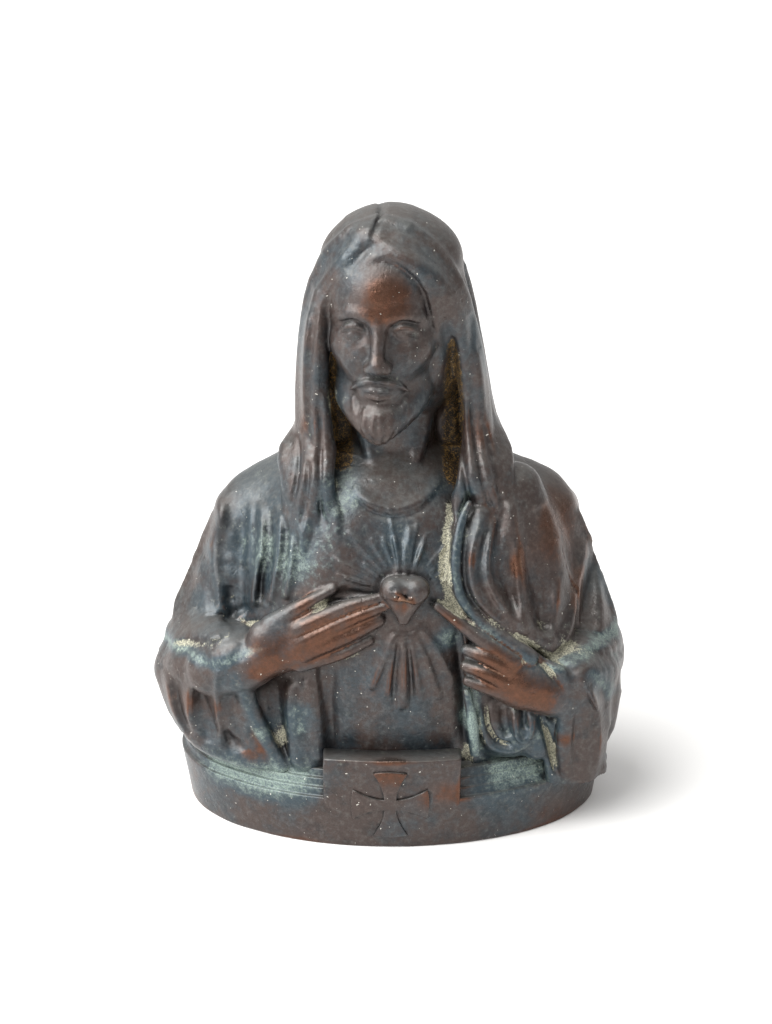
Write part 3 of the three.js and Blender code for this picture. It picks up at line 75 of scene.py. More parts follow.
# The bronze's colours: the dark skin, which also serves as painted shade in the hollows, the metal where it
# is rubbed, what has settled on it, and a pale haze that also serves as painted light on what faces up.
SKIN_BROWN, SKIN_BLUE, SKIN_DARK_AND_SHADE = "#3b302c", "#2d3a41", "#121011"
WORN_BROWN, WORN_RED, WORN_BRIGHT = "#523a2e", "#5c3f32", "#8a715e"
GREEN_DULL, GREEN_PALE = "#526063", "#8b9c90"
DUST_DARK, DUST_PALE = "#5f5d52", "#aeab95"
DIRT_BLACK, DIRT_OCHRE = "#20180f", "#8a6c3c"
HAZE_AND_TOP_LIGHT, FLECK = "#7b7a76", "#d9d6cc"
# How wide the patches of its patterns are. The real grit is finer; this is as fine as shows.
CLOUDS, PATCHES, PITS, MOTTLE, SPECKS, GRIT = 26, 6, 2.4, 1.5, 0.9, 0.45
SKIN_GLOSS, WORN_GLOSS = 0.35, 0.3  # roughness of the skin and of the rubbed metal
SKIN_METAL, WORN_METAL = 0.35, 0.9  # the oxide skin hides most of the metal


def linear(colour):
    """An sRGB hex colour as the linear one that a shader takes."""
    parts = [int(colour[i:i + 2], 16) / 255 for i in (1, 3, 5)]
    return [p / 12.92 if p <= 0.04045 else ((p + 0.055) / 1.055) ** 2.4 for p in parts] + [1]


def add(tree, kind, links=(), **settings):
    """A node with its settings. Links are pairs of one of its inputs and the output that feeds it or
    the value that it is set to."""
    node = tree.nodes.new("ShaderNode" + kind)
    for name, value in settings.items():
        setattr(node, name, value)
    for name, value in links:
        if isinstance(value, bpy.types.NodeSocket):
            tree.links.new(value, node.inputs[name])
        else:
            node.inputs[name].default_value = value
    return node


def bronze(name):
    """Cast bronze, oxidised to a brown-black and blue-grey skin. Handling has rubbed the high places
    back to red-brown metal, verdigris has bloomed where it stayed damp, and old dust and wax lie in
    the hollows. Painted shade darkens the hollows, and painted light makes what faces up paler.
    The attributes that weathered() gives a piece say where."""
    material = bpy.data.materials.new(name)
    material.use_nodes = True
    tree = material.node_tree
    tree.nodes.clear()
    place = add(tree, "TexCoord").outputs["Object"]

    def pattern(grain, detail, rough, shift):
        """Cloudy noise whose patches are about this many millimetres across, from 0 to 1."""
        moved = add(tree, "VectorMath", [(0, place), (1, (shift, shift, shift))], operation="ADD")
        return add(tree, "TexNoise", [("Vector", moved.outputs[0]), ("Scale", 1 / (grain * MM)),
                                      ("Detail", detail), ("Roughness", rough)]).outputs["Fac"]

    def times(a, b):
        return add(tree, "Math", [(0, a), (1, b)], operation="MULTIPLY").outputs[0]

    def plus(a, b):
        return add(tree, "Math", [(0, a), (1, b)], operation="ADD").outputs[0]

    def ramp(value, low, high, out_low=0.0, out_high=1.0):
        """A soft step from one share to another, as a value goes from low to high."""
        return add(tree, "MapRange", [("Value", value), ("From Min", low), ("From Max", high),
                                      ("To Min", out_low), ("To Max", out_high)],
                   interpolation_type="SMOOTHSTEP").outputs[0]

    def blend(share, a, b):
        a, b = (linear(v) if isinstance(v, str) else v for v in (a, b))
        return add(tree, "Mix", [(0, share), (6, a), (7, b)], data_type="RGBA").outputs[2]

    hollow, crest, upward, copper, verdigris, dust, grime = (
        add(tree, "Attribute", attribute_name=kind).outputs["Fac"]
        for kind in ("hollow", "crest", "upward", "copper", "verdigris", "dust", "grime"))
    clouds = pattern(CLOUDS, 4, 0.55, 0.0)
    patches = pattern(PATCHES, 5, 0.62, 3.1)
    mottle = pattern(MOTTLE, 4, 0.6, 7.7)
    grit = pattern(GRIT, 3, 0.7, 1.3)
    specks = pattern(SPECKS, 1, 0.5, 5.9)
    pits = pattern(PITS, 2, 0.5, 9.4)

    def uneven_by(value, by_patches, by_mottle, by_grit):
        """A value made to waver, by these shares of the patterns."""
        for way, share in ((patches, by_patches), (mottle, by_mottle), (grit, by_grit)):
            value = plus(value, times(plus(way, -0.5), share))
        return value

    # The skin, with painted shade that darkens it in the hollows.
    bluish = ramp(uneven_by(plus(clouds, times(verdigris, 0.5)), 0.5, 0.2, 0), 0.42, 0.72)
    skin = blend(bluish, SKIN_BROWN, SKIN_BLUE)
    skin = blend(ramp(patches, 0.48, 0.72, 0, 0.6), skin, SKIN_DARK_AND_SHADE)
    skin = blend(ramp(mottle, 0.42, 0.85, 0, 0.25), skin, HAZE_AND_TOP_LIGHT)
    skin = blend(ramp(grit, 0.45, 0.75, 0, 0.5), skin, SKIN_DARK_AND_SHADE)
    # painted shade: the more shut in a point is, the nearer its skin goes to the darkest colour
    skin = blend(ramp(hollow, 0.25, 1.0, 0, 0.85), skin, SKIN_DARK_AND_SHADE)

    # The rubbed metal, and painted light that makes what faces up paler, as if lit from above.
    rubbed = plus(times(crest, plus(times(copper, 0.9), 0.25)), times(copper, 1.1))
    rubbed = uneven_by(plus(rubbed, times(hollow, -0.5)), 1.0, 0.4, 0.1)
    worn = ramp(rubbed, 0.15, 0.85)
    colour = blend(worn, skin, blend(ramp(mottle, 0.35, 0.7), WORN_BROWN, WORN_RED))
    colour = blend(ramp(rubbed, 0.8, 1.9, 0, 0.5), colour, WORN_BRIGHT)
    # painted light: surfaces that face up are blended towards the pale haze colour
    painted_top_light = ramp(uneven_by(upward, 0.6, 0.5, 0.5), 0.25, 1.1, 0, 0.38)
    colour = blend(painted_top_light, colour, HAZE_AND_TOP_LIGHT)

    # Verdigris, dust, packed dirt and flecks of lint.
    bloom = uneven_by(plus(verdigris, times(hollow, 0.2)), 1.5, 1.3, 0.4)
    green = times(ramp(bloom, 0.35, 1.3, 0, 0.75), ramp(worn, 0.3, 0.9, 1, 0.25))
    colour = blend(green, colour, blend(ramp(grit, 0.35, 0.65), GREEN_DULL, GREEN_PALE))
    settled = uneven_by(times(plus(dust, 0.12), ramp(hollow, 0.1, 0.9, 0, 1.3)), 0.7, 1.2, 1.1)
    dusty = ramp(settled, 0.35, 0.9, 0, 0.85)
    colour = blend(dusty, colour, blend(ramp(grit, 0.4, 0.6), DUST_DARK, DUST_PALE))
    dirty = ramp(uneven_by(grime, 0.5, 0.8, 0.6), 0.3, 0.8)
    ochre = ramp(uneven_by(grit, 0, 0.5, 0), 0.45, 0.68)
    colour = blend(dirty, colour, blend(ochre, DIRT_BLACK, DIRT_OCHRE))
    colour = blend(ramp(specks, 0.77, 0.8, 0, 0.75), colour, FLECK)

    # Gloss and relief: what lies on the metal is matt, and the skin is finely pitted.
    matt = plus(dusty, dirty)
    rough = plus(ramp(worn, 0, 1, SKIN_GLOSS, WORN_GLOSS), ramp(grit, 0.3, 0.7, -0.04, 0.04))
    rough = plus(plus(rough, times(green, 0.25)), times(matt, 0.35))
    metal = times(ramp(worn, 0, 1, SKIN_METAL, WORN_METAL), ramp(plus(green, matt), 0, 1, 1, 0.1))
    height = plus(times(grit, 0.05), times(mottle, 0.14))
    height = plus(height, times(ramp(pits, 0.62, 0.75), -0.1))
    height = plus(height, times(matt, 0.08))
    relief = add(tree, "Bump", [("Height", height), ("Strength", 0.8), ("Distance", MM)])
    shader = add(tree, "BsdfPrincipled", [
        ("Base Color", colour), ("Roughness", rough), ("Metallic", metal), ("Normal", relief.outputs[0])])
    add(tree, "OutputMaterial", [("Surface", shader.outputs[0])])
    return material


bronze_skin = bronze("patinated_cast_bronze")

# Places where the whole casting is rubbed, green or dusty: across and level on the front, reach and
# strength.
RUBBED = [
    (-2, 166, 9, 1), (-4, 149, 4, 0.4), (-36, 59, 10, 0.9), (-19, 66, 9, 0.8), (-9, 74, 6, 0.8),
    (-25, 77, 5, 0.7), (18, 72, 5, 0.8), (29, 58, 9, 1), (42, 48, 9, 1), (3, 79, 4, 0.8), (-6, 50, 8, 0.45),
    (3, 55, 6, 0.4), (-52, 106, 9, 0.4), (-55, 85, 6, 0.35), (-70, 38, 7, 0.4), (-60, 42, 4, 0.5),
    (-51, 43, 3, 0.5), (-41, 28, 6, 0.6), (49, 94, 14, 0.75), (52, 74, 7, 0.6), (51, 33, 3, 0.9),
    (61, 30, 3, 0.4), (23, 90, 3, 0.7), (36, 86, 4, 0.5), (-1, 29, 6, 0.4), (16, 19, 6, 0.6),
    (50, 2, 12, 0.4), (-65, 4, 9, 0.35), (-27, 0, 9, 0.3), (-22, 125, 6, 0.3), (26, 122, 6, 0.35),
    (28, 103, 5, 0.4)]
GREEN = [
    (-26, 88, 9, 0.55), (-18, 103, 8, 0.4), (-14, 111, 5, 0.3), (-43, 109, 9, 0.5), (-39, 86, 8, 0.55),
    (-52, 19, 6, 1), (-43, 19, 6, 1), (-34, 19, 6, 1), (-26, 20, 5, 0.9), (-37, 35, 3, 0.6),
    (-28, 39, 5, 0.7), (2, 94, 7, 0.3), (33, 21, 7, 1), (43, 20, 5, 0.8), (23, 39, 4, 0.8), (36, 35, 6, 0.5),
    (16, 65, 4, 0.7), (68, 53, 6, 0.4), (-12, 107, 4, 0.4), (14, 107, 4, 0.4), (-12, 35, 8, 0.2),
    (45, 35, 4, 0.6)]
DUSTY = [
    (-16, 130, 7, 0.5), (-13, 110, 5, 0.4), (17, 130, 6, 0.5), (18, 111, 4, 0.4), (16, 86, 3, 0.9),
    (17, 77, 3, 0.9), (38, 65, 6, 0.8), (29, 72, 4, 0.5), (-63, 57, 6, 0.2), (-50, 63, 5, 0.25),
    (-39, 69, 4, 0.3), (-21, 76, 3, 0.8), (14, 57, 3, 0.5), (31, 37, 5, 1), (22, 27, 3, 0.8),
    (47, 57, 4, 0.6), (46, 29, 5, 0.8), (-33, 33, 3, 0.8), (-47, 70, 2.5, 0.6), (53, 58, 5, 0.6)]
# Creases and borders where green, dust or dirt has gathered in a line: its points, reach and strength.
GREEN_LINES = [
    ([(22, 107), (20, 101), (19, 93), (18, 86), (20, 78), (23, 73), (29, 68), (37, 62), (45, 57)], 1.5, 0.5),
    ([(-69, 55), (-61, 58), (-52, 58), (-45, 61), (-38, 64)], 1.6, 0.8),
    ([(46, 57), (52, 58), (60, 59), (68, 58)], 1.6, 0.8),
    ([(23, 48), (24, 40), (25, 29)], 2.2, 0.8),
    ([(-45, 54), (-42, 43), (-38, 31), (-32, 21)], 1.2, 0.35),
    ([(58, 54), (63, 47), (65, 43)], 1.8, 0.6)]
DUST_LINES = [
    ([(-65, 58), (-56, 60), (-46, 62), (-38, 66)], 1.1, 0.7),
    ([(16, 101), (15, 89), (16, 76), (19, 73)], 1.6, 0.9),
    ([(23, 71), (31, 64), (43, 56), (51, 57)], 1.6, 0.8),
    ([(28, 43), (30, 34), (34, 31)], 1.6, 0.7),
    ([(-18, 56), (-12, 60), (-5, 65)], 1.6, 0.6),
    ([(44, 37), (46, 29), (49, 19)], 1.6, 0.7)]
DIRT_LINES = [
    ([(-18, 150), (-17, 134), (-15, 122), (-13, 103)], 3.2, 1.2),
    ([(18, 150), (18, 132), (18, 117), (17, 101)], 3, 1.2)]
DIRT_FROM, DIRT_OVER = -21, 3  # the dirt lies beside the face, behind this depth
LINES_END, SPOTS_END = 0, 12  # depths behind which the front's stains stop


def stained(points, spots, lines=()):
    """How strongly some spots and lines on the front reach each point."""
    total = np.zeros(len(points))
    for line, reach, strength in lines:
        nearest = np.full(len(points), 9.0)
        for (ax, az), (bx, bz) in zip(line, line[1:]):
            x, z, ux, uz = points[:, 0] - ax, points[:, 2] - az, bx - ax, bz - az
            t = np.clip((x * ux + z * uz) / (ux * ux + uz * uz), 0, 1)
            nearest = np.minimum(nearest, np.hypot(x - t * ux, z - t * uz) / reach)
        total += strength * np.exp(-nearest ** 2) * (points[:, 1] < LINES_END)
    for x, z, reach, strength in spots:
        away = np.hypot(points[:, 0] - x, points[:, 2] - z) / reach
        total += strength * np.exp(-away ** 2) * (points[:, 1] < SPOTS_END)
    return total


def coordinates(mesh, kind="co"):
    """A mesh's points, or its normals."""
    values = np.empty(len(mesh.vertices) * 3, np.float32)
    source = mesh.vertices if kind == "co" else mesh.vertex_normals
    source.foreach_get(kind if kind == "co" else "vector", values)
    return values.reshape(-1, 3)


def weathered(mesh, points, hollow, crest):
    """Says where the bronze of a finished mesh is hollow, rubbed, green, dusty and dirty."""
    behind = np.clip((points[:, 1] - DIRT_FROM) / DIRT_OVER, 0, 1)
    kinds = {
        "hollow": hollow, "crest": crest, "upward": coordinates(mesh, "normal")[:, 2],
        "copper": stained(points, RUBBED), "verdigris": stained(points, GREEN, GREEN_LINES),
        "dust": stained(points, DUSTY, DUST_LINES), "grime": stained(points, [], DIRT_LINES) * behind}
    for kind, values in kinds.items():
        layer = mesh.attributes.new(kind, "FLOAT", "POINT")
        layer.data.foreach_set("value", values.astype(np.float32))


def bronze_piece(name, mesh):
    """The object of a finished mesh, standing for the casting's node."""
    mesh.shade_smooth()
    mesh.materials.append(bronze_skin)
    piece = bpy.data.objects.new(name, mesh)
    bpy.context.scene.collection.objects.link(piece)
    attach(piece, "root")
    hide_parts("sacred_heart_bust")
    return piece


def cast_piece(name, bm, amount, grain):
    """The piece of a bmesh drawn in millimetres. Its points are moved a little, as a hand-worked model
    has no true face, and none of them goes below the ground."""
    for v in bm.verts:
        v.co += noise.noise_vector(v.co / grain) * amount
        v.co.z = max(v.co.z, 0)
    bmesh.ops.recalc_face_normals(bm, faces=bm.faces)
    bmesh.ops.scale(bm, vec=(MM, MM, MM), verts=bm.verts)
    mesh = bpy.data.meshes.new(name)
    bm.to_mesh(mesh)
    bm.free()
    return bronze_piece(name, mesh)


def slump(v, half):
    """Moves a point of the right-hand moulding towards a slope from the band up to the top."""
    rim = v.co.xy.length / max(math.hypot(v.co.x / half.x, v.co.y / half.y), 1e-6)
    inward, above = rim - v.co.xy.length, v.co.z - BAND_HEIGHT
    if above > 0.05 and inward < SLUMP_REACH:
        sloped = MOULDING_SETBACK * (1 + above / MOULDING_STEP)
        share = SLUMP * min(max((v.co.x - SLUMP_FROM) / SLUMP_OVER, 0), 1)
        v.co.xy *= 1 - (sloped - inward) * share / v.co.xy.length


def make_base():
    """An oval ring carried up the band and the steps, and closed below and above."""
    bm = bmesh.new()
    half = Vector((BASE_WIDTH, BASE_DEPTH)) / 2
    inset = [BAND_BATTER * (1 - t / BAND_RINGS) for t in range(BAND_RINGS + 1)]
    level = [BAND_HEIGHT * t / BAND_RINGS for t in range(BAND_RINGS + 1)]
    for step in range(MOULDING_STEPS):
        inset += [MOULDING_SETBACK * (step + 1)] * 2
        level += [BAND_HEIGHT + MOULDING_STEP * step, BAND_HEIGHT + MOULDING_STEP * (step + 1)]
    inset.append(half.y - BASE_MIDDLE)
    level.append(BASE_HEIGHT)
    ring = bmesh.ops.create_circle(bm, cap_ends=True, segments=BASE_SIDES, radius=1)["verts"]
    size = half - Vector((inset[0], inset[0]))
    bmesh.ops.scale(bm, vec=(*size, 1), verts=ring)
    edges = [e for e in bm.edges if e.is_boundary]
    sharp = []
    for i in range(1, len(level)):
        grown = bmesh.ops.extrude_edge_only(bm, edges=edges)["geom"]
        ring = [g for g in grown if isinstance(g, bmesh.types.BMVert)]
        edges = [e for e in grown if isinstance(e, bmesh.types.BMEdge) and all(v in ring for v in e.verts)]
        wanted = half - Vector((inset[i], inset[i]))
        bmesh.ops.scale(bm, vec=(wanted.x / size.x, wanted.y / size.y, 1), verts=ring)
        bmesh.ops.translate(bm, vec=(0, 0, level[i] - level[i - 1]), verts=ring)
        size = wanted
        if BAND_RINGS <= i < len(level) - 1:
            sharp += edges
    bmesh.ops.contextual_create(bm, geom=edges)
    foot = [e for e in bm.edges if all(abs(v.co.z) < 1e-6 for v in e.verts)]
    bmesh.ops.bevel(bm, geom=sharp + foot, offset=BASE_EDGE, segments=4, profile=0.5, affect="EDGES",
                    material=-1)
    for v in bm.verts:
        slump(v, half)
    return cast_piece("base", bm, WAVER, WAVER_GRAIN)


base = make_base()


# The panel: a raised plate on the front of the band, flatter than the oval behind it and leaning with
# it, with rounded arrises. It carries the cross.
PANEL_WIDTH, PANEL_HEIGHT, PANEL_THICKNESS = 40.4, 30.5, 4.6
PANEL_OVAL = 142  # width of the flatter oval that its face follows
PANEL_EDGE = 0.7
PANEL_ROOT = 3  # how far its back runs into the base
PANEL_FADE = (16, 11)  # between these levels it sinks into the band
PANEL_WAVER, PANEL_GRAIN = 0.2, 9
PANEL_CUTS = ((0, PANEL_WIDTH, 25), (2, PANEL_HEIGHT, 19))  # each way: axis, size, number of strips


def panel_face(x, z):
    return -(BASE_DEPTH / 2 + (z - BAND_HEIGHT) * BATTER) * math.sqrt(1 - (2 * x / PANEL_OVAL) ** 2)


def make_panel():
    """A block, its front edges rounded, cut into strips and bent to the panel's face."""
    bm = bmesh.new()
    bmesh.ops.create_cube(bm, size=1)
    bmesh.ops.scale(bm, vec=(PANEL_WIDTH, 1, PANEL_HEIGHT), verts=bm.verts)
    bmesh.ops.translate(bm, vec=(0, 0, PANEL_HEIGHT / 2), verts=bm.verts)
    bmesh.ops.bevel(bm, geom=[e for e in bm.edges if min(v.co.y for v in e.verts) < 0], offset=PANEL_EDGE,
                    segments=3, profile=0.5, affect="EDGES", material=-1)
    for axis, size, strips in PANEL_CUTS:
        low = -size / 2 if axis == 0 else 0
        normal = Vector([float(a == axis) for a in range(3)])
        for place in np.linspace(low, low + size, strips + 1)[1:-1]:
            bmesh.ops.bisect_plane(bm, geom=bm.verts[:] + bm.edges[:] + bm.faces[:],
                                   plane_co=normal * float(place), plane_no=normal)
    for v in bm.verts:
        front = v.co.y < 0.45
        sunk = v.co.y + 0.5 if front else PANEL_THICKNESS + PANEL_ROOT
        faded = min(max((PANEL_FADE[0] - v.co.z) / (PANEL_FADE[0] - PANEL_FADE[1]), 0), 1)
        v.co.y = panel_face(v.co.x, v.co.z) + sunk + faded
    return cast_piece("panel", bm, PANEL_WAVER, PANEL_GRAIN)


panel = make_panel()


# The cross: four arms that widen to their ends, in low relief on the panel. Each has a raised rim
# round a sunk face, as if pressed in with a tool.
CROSS_MIDDLE, CROSS_SPAN = (-0.5, 15.4), 22
CROSS_PROUD, CROSS_RIM, CROSS_SUNK = 1.3, 0.8, 0.6
CROSS_SLOPE = 0.35  # width of the slope from the rim down to the sunk face
CROSS_ROOT = 1.2  # how far it runs into the panel
CROSS_EDGE = 0.3
ARM_WAIST, ARM_TIP = 0.16, 0.46  # half widths, as shares of the arm's reach
ARM_FLARE = 1.7  # the more, the later the arm widens
ARM_CROWN = 0.05  # how far its end swells, as a share of its reach
CROSS_WAVER, CROSS_GRAIN = 0.18, 3


def mix(a, b, t):
    return a + (b - a) * t


def make_cross():
    """One arm's outline turned round four times, made a face, inset to a rim and given a root."""
    bm = bmesh.new()
    reach = CROSS_SPAN / 2
    side = [reach * Vector((mix(ARM_WAIST, ARM_TIP, t ** ARM_FLARE), 0, mix(ARM_WAIST, 1, t)))
            for t in np.linspace(0, 1, 7)]
    tip = [Vector((side[-1].x * t, 0, reach * (1 + ARM_CROWN * (1 - t * t)))) for t in (0.6, 0.2, -0.2, -0.6)]
    arm = side + tip + [Vector((-p.x, 0, p.z)) for p in reversed(side)][:-1]
    outline = []
    for quarter in range(4):
        turn = Matrix.Rotation(-math.pi / 2 * quarter, 3, "Y")
        outline += [bm.verts.new(turn @ p) for p in arm]
    face = bm.faces.new(outline)
    face.normal_update()
    if face.normal.y > 0:
        face.normal_flip()
    bmesh.ops.inset_region(bm, faces=[face], thickness=CROSS_RIM, use_even_offset=True)
    bmesh.ops.inset_region(bm, faces=[face], thickness=CROSS_SLOPE, depth=-CROSS_SUNK, use_even_offset=True)
    rim = [e for e in bm.edges if e.is_boundary]
    back = bmesh.ops.extrude_edge_only(bm, edges=rim)["geom"]
    bmesh.ops.translate(bm, vec=(0, CROSS_PROUD + CROSS_ROOT, 0),
                        verts=[g for g in back if isinstance(g, bmesh.types.BMVert)])
    bmesh.ops.bevel(bm, geom=rim, offset=CROSS_EDGE, segments=2, profile=0.5, affect="EDGES", material=-1)
    bmesh.ops.triangulate(bm, faces=[f for f in bm.faces if len(f.verts) > 4])
    for v in bm.verts:
        x, z = v.co.x + CROSS_MIDDLE[0], v.co.z + CROSS_MIDDLE[1]
        v.co = (x, panel_face(x, z) - CROSS_PROUD + v.co.y, z)
    return cast_piece("cross", bm, CROSS_WAVER, CROSS_GRAIN)


cross = make_cross()


# The figure: modelled in wax, moulded and cast. Bmesh operators don't give the shape of modelled hair,
# hands and cloth, so it is sculpted here as in wax, by laying soft forms on each other and pressing
# folds, strands and creases into them, and its surface is then drawn over.
STRANDS, RAYS = 5, 17  # strands drawn on each side of the face, and rays round the heart
NEAR = np.float32(4)  # beyond this a form's depth isn't worked out
FRONT, BACK, LEFT, RIGHT = (1, -1, 0), (1, 1, 0), (0, -1, 34), (0, 1, 34)  # axis, its sign, how far out


class Form:
    """A form tells how far points lie outside it, negative inside. Points come as an (n, 3) array, and
    low and high are the corners of their box."""

    def __init__(self, low, high, depth):
        self.low, self.high, self.depth = np.array(low, float), np.array(high, float), depth

    def gap(self, low, high):
        return np.linalg.norm(np.maximum(0, np.maximum(self.low - high, low - self.high)))


def soft_min(a, b, k):
    h = np.maximum(k - np.abs(a - b), 0)
    return np.minimum(a, b) - h * h / (4 * k)


def blob(middle, radii, yaw=0, roll=0):
    """An ellipsoid, turned by yaw about z and roll about y, in degrees."""
    middle, radii = np.array(middle, np.float32), np.array(radii, np.float32)
    c, b = -math.radians(yaw), -math.radians(roll)
    about_z = [[math.cos(c), -math.sin(c), 0], [math.sin(c), math.cos(c), 0], [0, 0, 1]]
    about_y = [[math.cos(b), 0, math.sin(b)], [0, 1, 0], [-math.sin(b), 0, math.cos(b)]]
    turn = np.array(np.array(about_z) @ np.array(about_y), np.float32)
    reach = radii.max()

    def depth(p, low, high):
        q = (p - middle) @ turn / radii
        k0 = np.sqrt((q * q).sum(1))
        k1 = np.sqrt(((q / radii) ** 2).sum(1)) + 1e-6
        return k0 * (k0 - 1) / k1

    return Form(middle - reach, middle + reach, depth)


def smooth_line(points, pieces):
    """Points of a smooth line through the given ones."""
    p = np.array(points, float)
    if len(p) < 3:
        return p
    ends = np.vstack([2 * p[0] - p[1], p, 2 * p[-1] - p[-2]])
    made = []
    for i in range(len(p) - 1):
        a, b, c, d = ends[i:i + 4]
        for n in range(pieces):
            t = n / pieces
            made.append(0.5 * (2 * b + (c - a) * t + (2 * a - 5 * b + 4 * c - d) * t * t
                               + (3 * b - a - 3 * c + d) * t ** 3))
    return np.array(made + [p[-1]])


def limb(points, radii, pieces=3):
    """A round bar whose line runs smoothly through the points, with radii spread along it."""
    nodes = smooth_line(points, pieces).astype(np.float32)
    share = np.linspace(0, len(radii) - 1, len(nodes))
    thick = np.interp(share, np.arange(len(radii)), radii).astype(np.float32)

    def depth(p, low, high):
        least = np.full(len(p), 1e3, np.float32)
        for a, b, ra, rb in zip(nodes[:-1], nodes[1:], thick[:-1], thick[1:]):
            if np.maximum(0, np.maximum(np.minimum(a, b) - high, low - np.maximum(a, b))).max() > NEAR + 8:
                continue
            along = b - a
            q = p - a
            t = np.clip(q @ along / (along @ along + 1e-9), 0, 1)
            q -= t[:, None] * along
            least = np.minimum(least, np.sqrt((q * q).sum(1)) - (ra + (rb - ra) * t))
        return least

    reach = thick[:, None]
    return Form((nodes - reach).min(0), (nodes + reach).max(0), depth)


def column(rows):
    """An upright column, oval at each level: rows of level, half width, depth in front and behind,
    middle x and middle y."""
    rows = np.array(rows, float)
    level = rows[:, 0]
    slope = np.gradient(rows[:, 1:], level, axis=0)
    widest = (rows[:, 1] + abs(rows[:, 4])).max()
    deepest = (rows[:, 2:4].max(1) + abs(rows[:, 5])).max()

    def depth(p, low, high):
        z = np.clip(p[:, 2], level[0], level[-1])
        i = np.clip(np.searchsorted(level, z) - 1, 0, len(level) - 2)
        gap = level[i + 1] - level[i]
        t = (z - level[i]) / gap
        t2, t3 = t * t, t * t * t
        half, front, back, mx, my = (
            rows[i, c + 1] * (2 * t3 - 3 * t2 + 1) + slope[i, c] * gap * (t3 - 2 * t2 + t)
            + rows[i + 1, c + 1] * (3 * t2 - 2 * t3) + slope[i + 1, c] * gap * (t3 - t2)
            for c in range(5))
        dx, dy = p[:, 0] - mx, p[:, 1] - my
        ry = np.where(dy < 0, front, back)
        k0 = np.hypot(dx / half, dy / ry)
        k1 = np.hypot(dx / half ** 2, dy / ry ** 2) + 1e-6
        side = k0 * (k0 - 1) / k1
        return np.maximum(side, np.maximum(level[0] - p[:, 2], p[:, 2] - level[-1])).astype(np.float32)

    return Form([-widest, -deepest, level[0]], [widest, deepest, level[-1]], depth)


def joined(softness, *forms):
    """Forms run together with a fillet of about this softness."""

    def depth(p, low, high):
        d = np.full(len(p), NEAR, np.float32)
        for f in forms:
            if f.gap(low, high) < NEAR:
                d = soft_min(d, f.depth(p, low, high), softness)
        return d

    return Form(np.min([f.low for f in forms], 0), np.max([f.high for f in forms], 0), depth)


def carved(softness, form, *cutters):
    """A form with others cut out of it."""

    def depth(p, low, high):
        d = form.depth(p, low, high)
        for c in cutters:
            if c.gap(low, high) < NEAR:
                d = -soft_min(-d, c.depth(p, low, high), softness)
        return d

    return Form(form.low, form.high, depth)


def fold(points, half_width, height):
    """A fold drawn on a view of the figure, as a rise above its surface; a negative height makes it a
    furrow. Points are two numbers: across the view, and the level."""
    line = smooth_line(points, 3)
    count = len(line) - 1
    reach = half_width * 2.2
    low, high = line.min(0) - reach, line.max(0) + reach

    def rise(q, block_low, block_high):
        if (low > block_high).any() or (high < block_low).any():
            return 0
        least, along = np.full(len(q), 1e3), np.zeros(len(q))
        for i in range(count):
            u = line[i + 1] - line[i]
            s = np.clip((q - line[i]) @ u / (u @ u), 0, 1)
            d = np.hypot(*(q - line[i] - s[:, None] * u).T)
            along = np.where(d < least, (i + s) / count, along)
            least = np.minimum(least, d)
        taper = np.sqrt(np.clip(5.6 * along * (1 - along), 0, 1))
        return height * taper * np.exp(-(least / half_width) ** 2)

    return rise


def dressed(form, folds, view):
    """A form with folds on the side of it that a view shows."""
    axis, sign, out = view
    across = [0, 2] if axis == 1 else [1, 2]

    def depth(p, low, high):
        d = form.depth(p, low, high)
        seen = np.clip((p[:, axis] * sign - out + 6) / 12, 0, 1)
        q = p[:, across]
        rise = sum(f(q, low[across], high[across]) for f in folds)
        return (d - rise * seen * seen * (3 - 2 * seen)).astype(np.float32)

    return Form(form.low - 3, form.high + 3, depth)


def open_front(under, left, right, slit):
    """The space in front of the form under, between two lines drawn from top to bottom on the front
    view. Below the level slit its left edge is steep, above it the edge fades out."""
    left, right = np.array(left[::-1], float), np.array(right[::-1], float)

    def depth(p, low, high):
        x, y, z = p.T
        past_left = x - np.interp(z, left[:, 1], left[:, 0])
        slope = mix(1.6, 0.26, np.clip((z - slit + 6) / 12, 0, 1))
        layer = np.clip(3 - past_left * slope, -4, 6)
        wall = layer - under.depth(p, low, high)
        past_right = x - np.interp(z, right[:, 1], right[:, 0])
        beyond = -past_left - 12
        return np.maximum.reduce([past_right, beyond, y + 8, wall]).astype(np.float32)

    return Form([-60, -60, 0], [60, -8, 140], depth)


def both_sides(make):
    return [make(-1), make(1)]


def strands(guides, count, radii):
    """Strands of hair that fill the space between guide lines."""
    guides = np.array(guides, float)
    made = []
    for t in np.linspace(0, len(guides) - 1, count):
        i = min(int(t), len(guides) - 2)
        thick = np.array(radii) * (1 - 0.16 * (len(made) % 2))
        made.append(limb(mix(guides[i], guides[i + 1], t - i), thick))
    return made


def round_strand(angle, rows, radii):
    """A strand down the back at an angle from the middle: rows of level and half width and depth."""
    sway = 3 * np.sin(np.arange(len(rows)) * 1.7 + angle)
    turn = np.radians(angle + sway)
    z, rx, ry = np.array(rows, float).T
    return limb(np.stack([rx * np.sin(turn), ry * np.cos(turn) - 1, z], 1), radii)


def rays_round(middle, count, near, far, half_width, height):
    """Fine rays that fan out over a middle on the front view."""
    made = []
    for i in range(count):
        angle = math.radians(mix(185, 15, i / (count - 1)))
        way = np.array([math.cos(angle), math.sin(angle)])
        length = far * (0.8 + 0.2 * math.cos(i * 2.4)) * (1 - 0.4 * max(0, way[0]))
        made.append(fold([middle + way * reach for reach in (near, mix(near, length, 0.5), length)],
                         half_width, height))
    return made


# The head is drawn in its own frame, at the middle of the skull, looking along -y, then bowed, turned
# and placed.
HEAD_MIDDLE = np.array([-1.5, -9, 154.5], np.float32)
HEAD_BOW = math.radians(-4)
HEAD_TURN = math.radians(6)
HEAD_SHARE = 0.95  # of the size it is drawn at


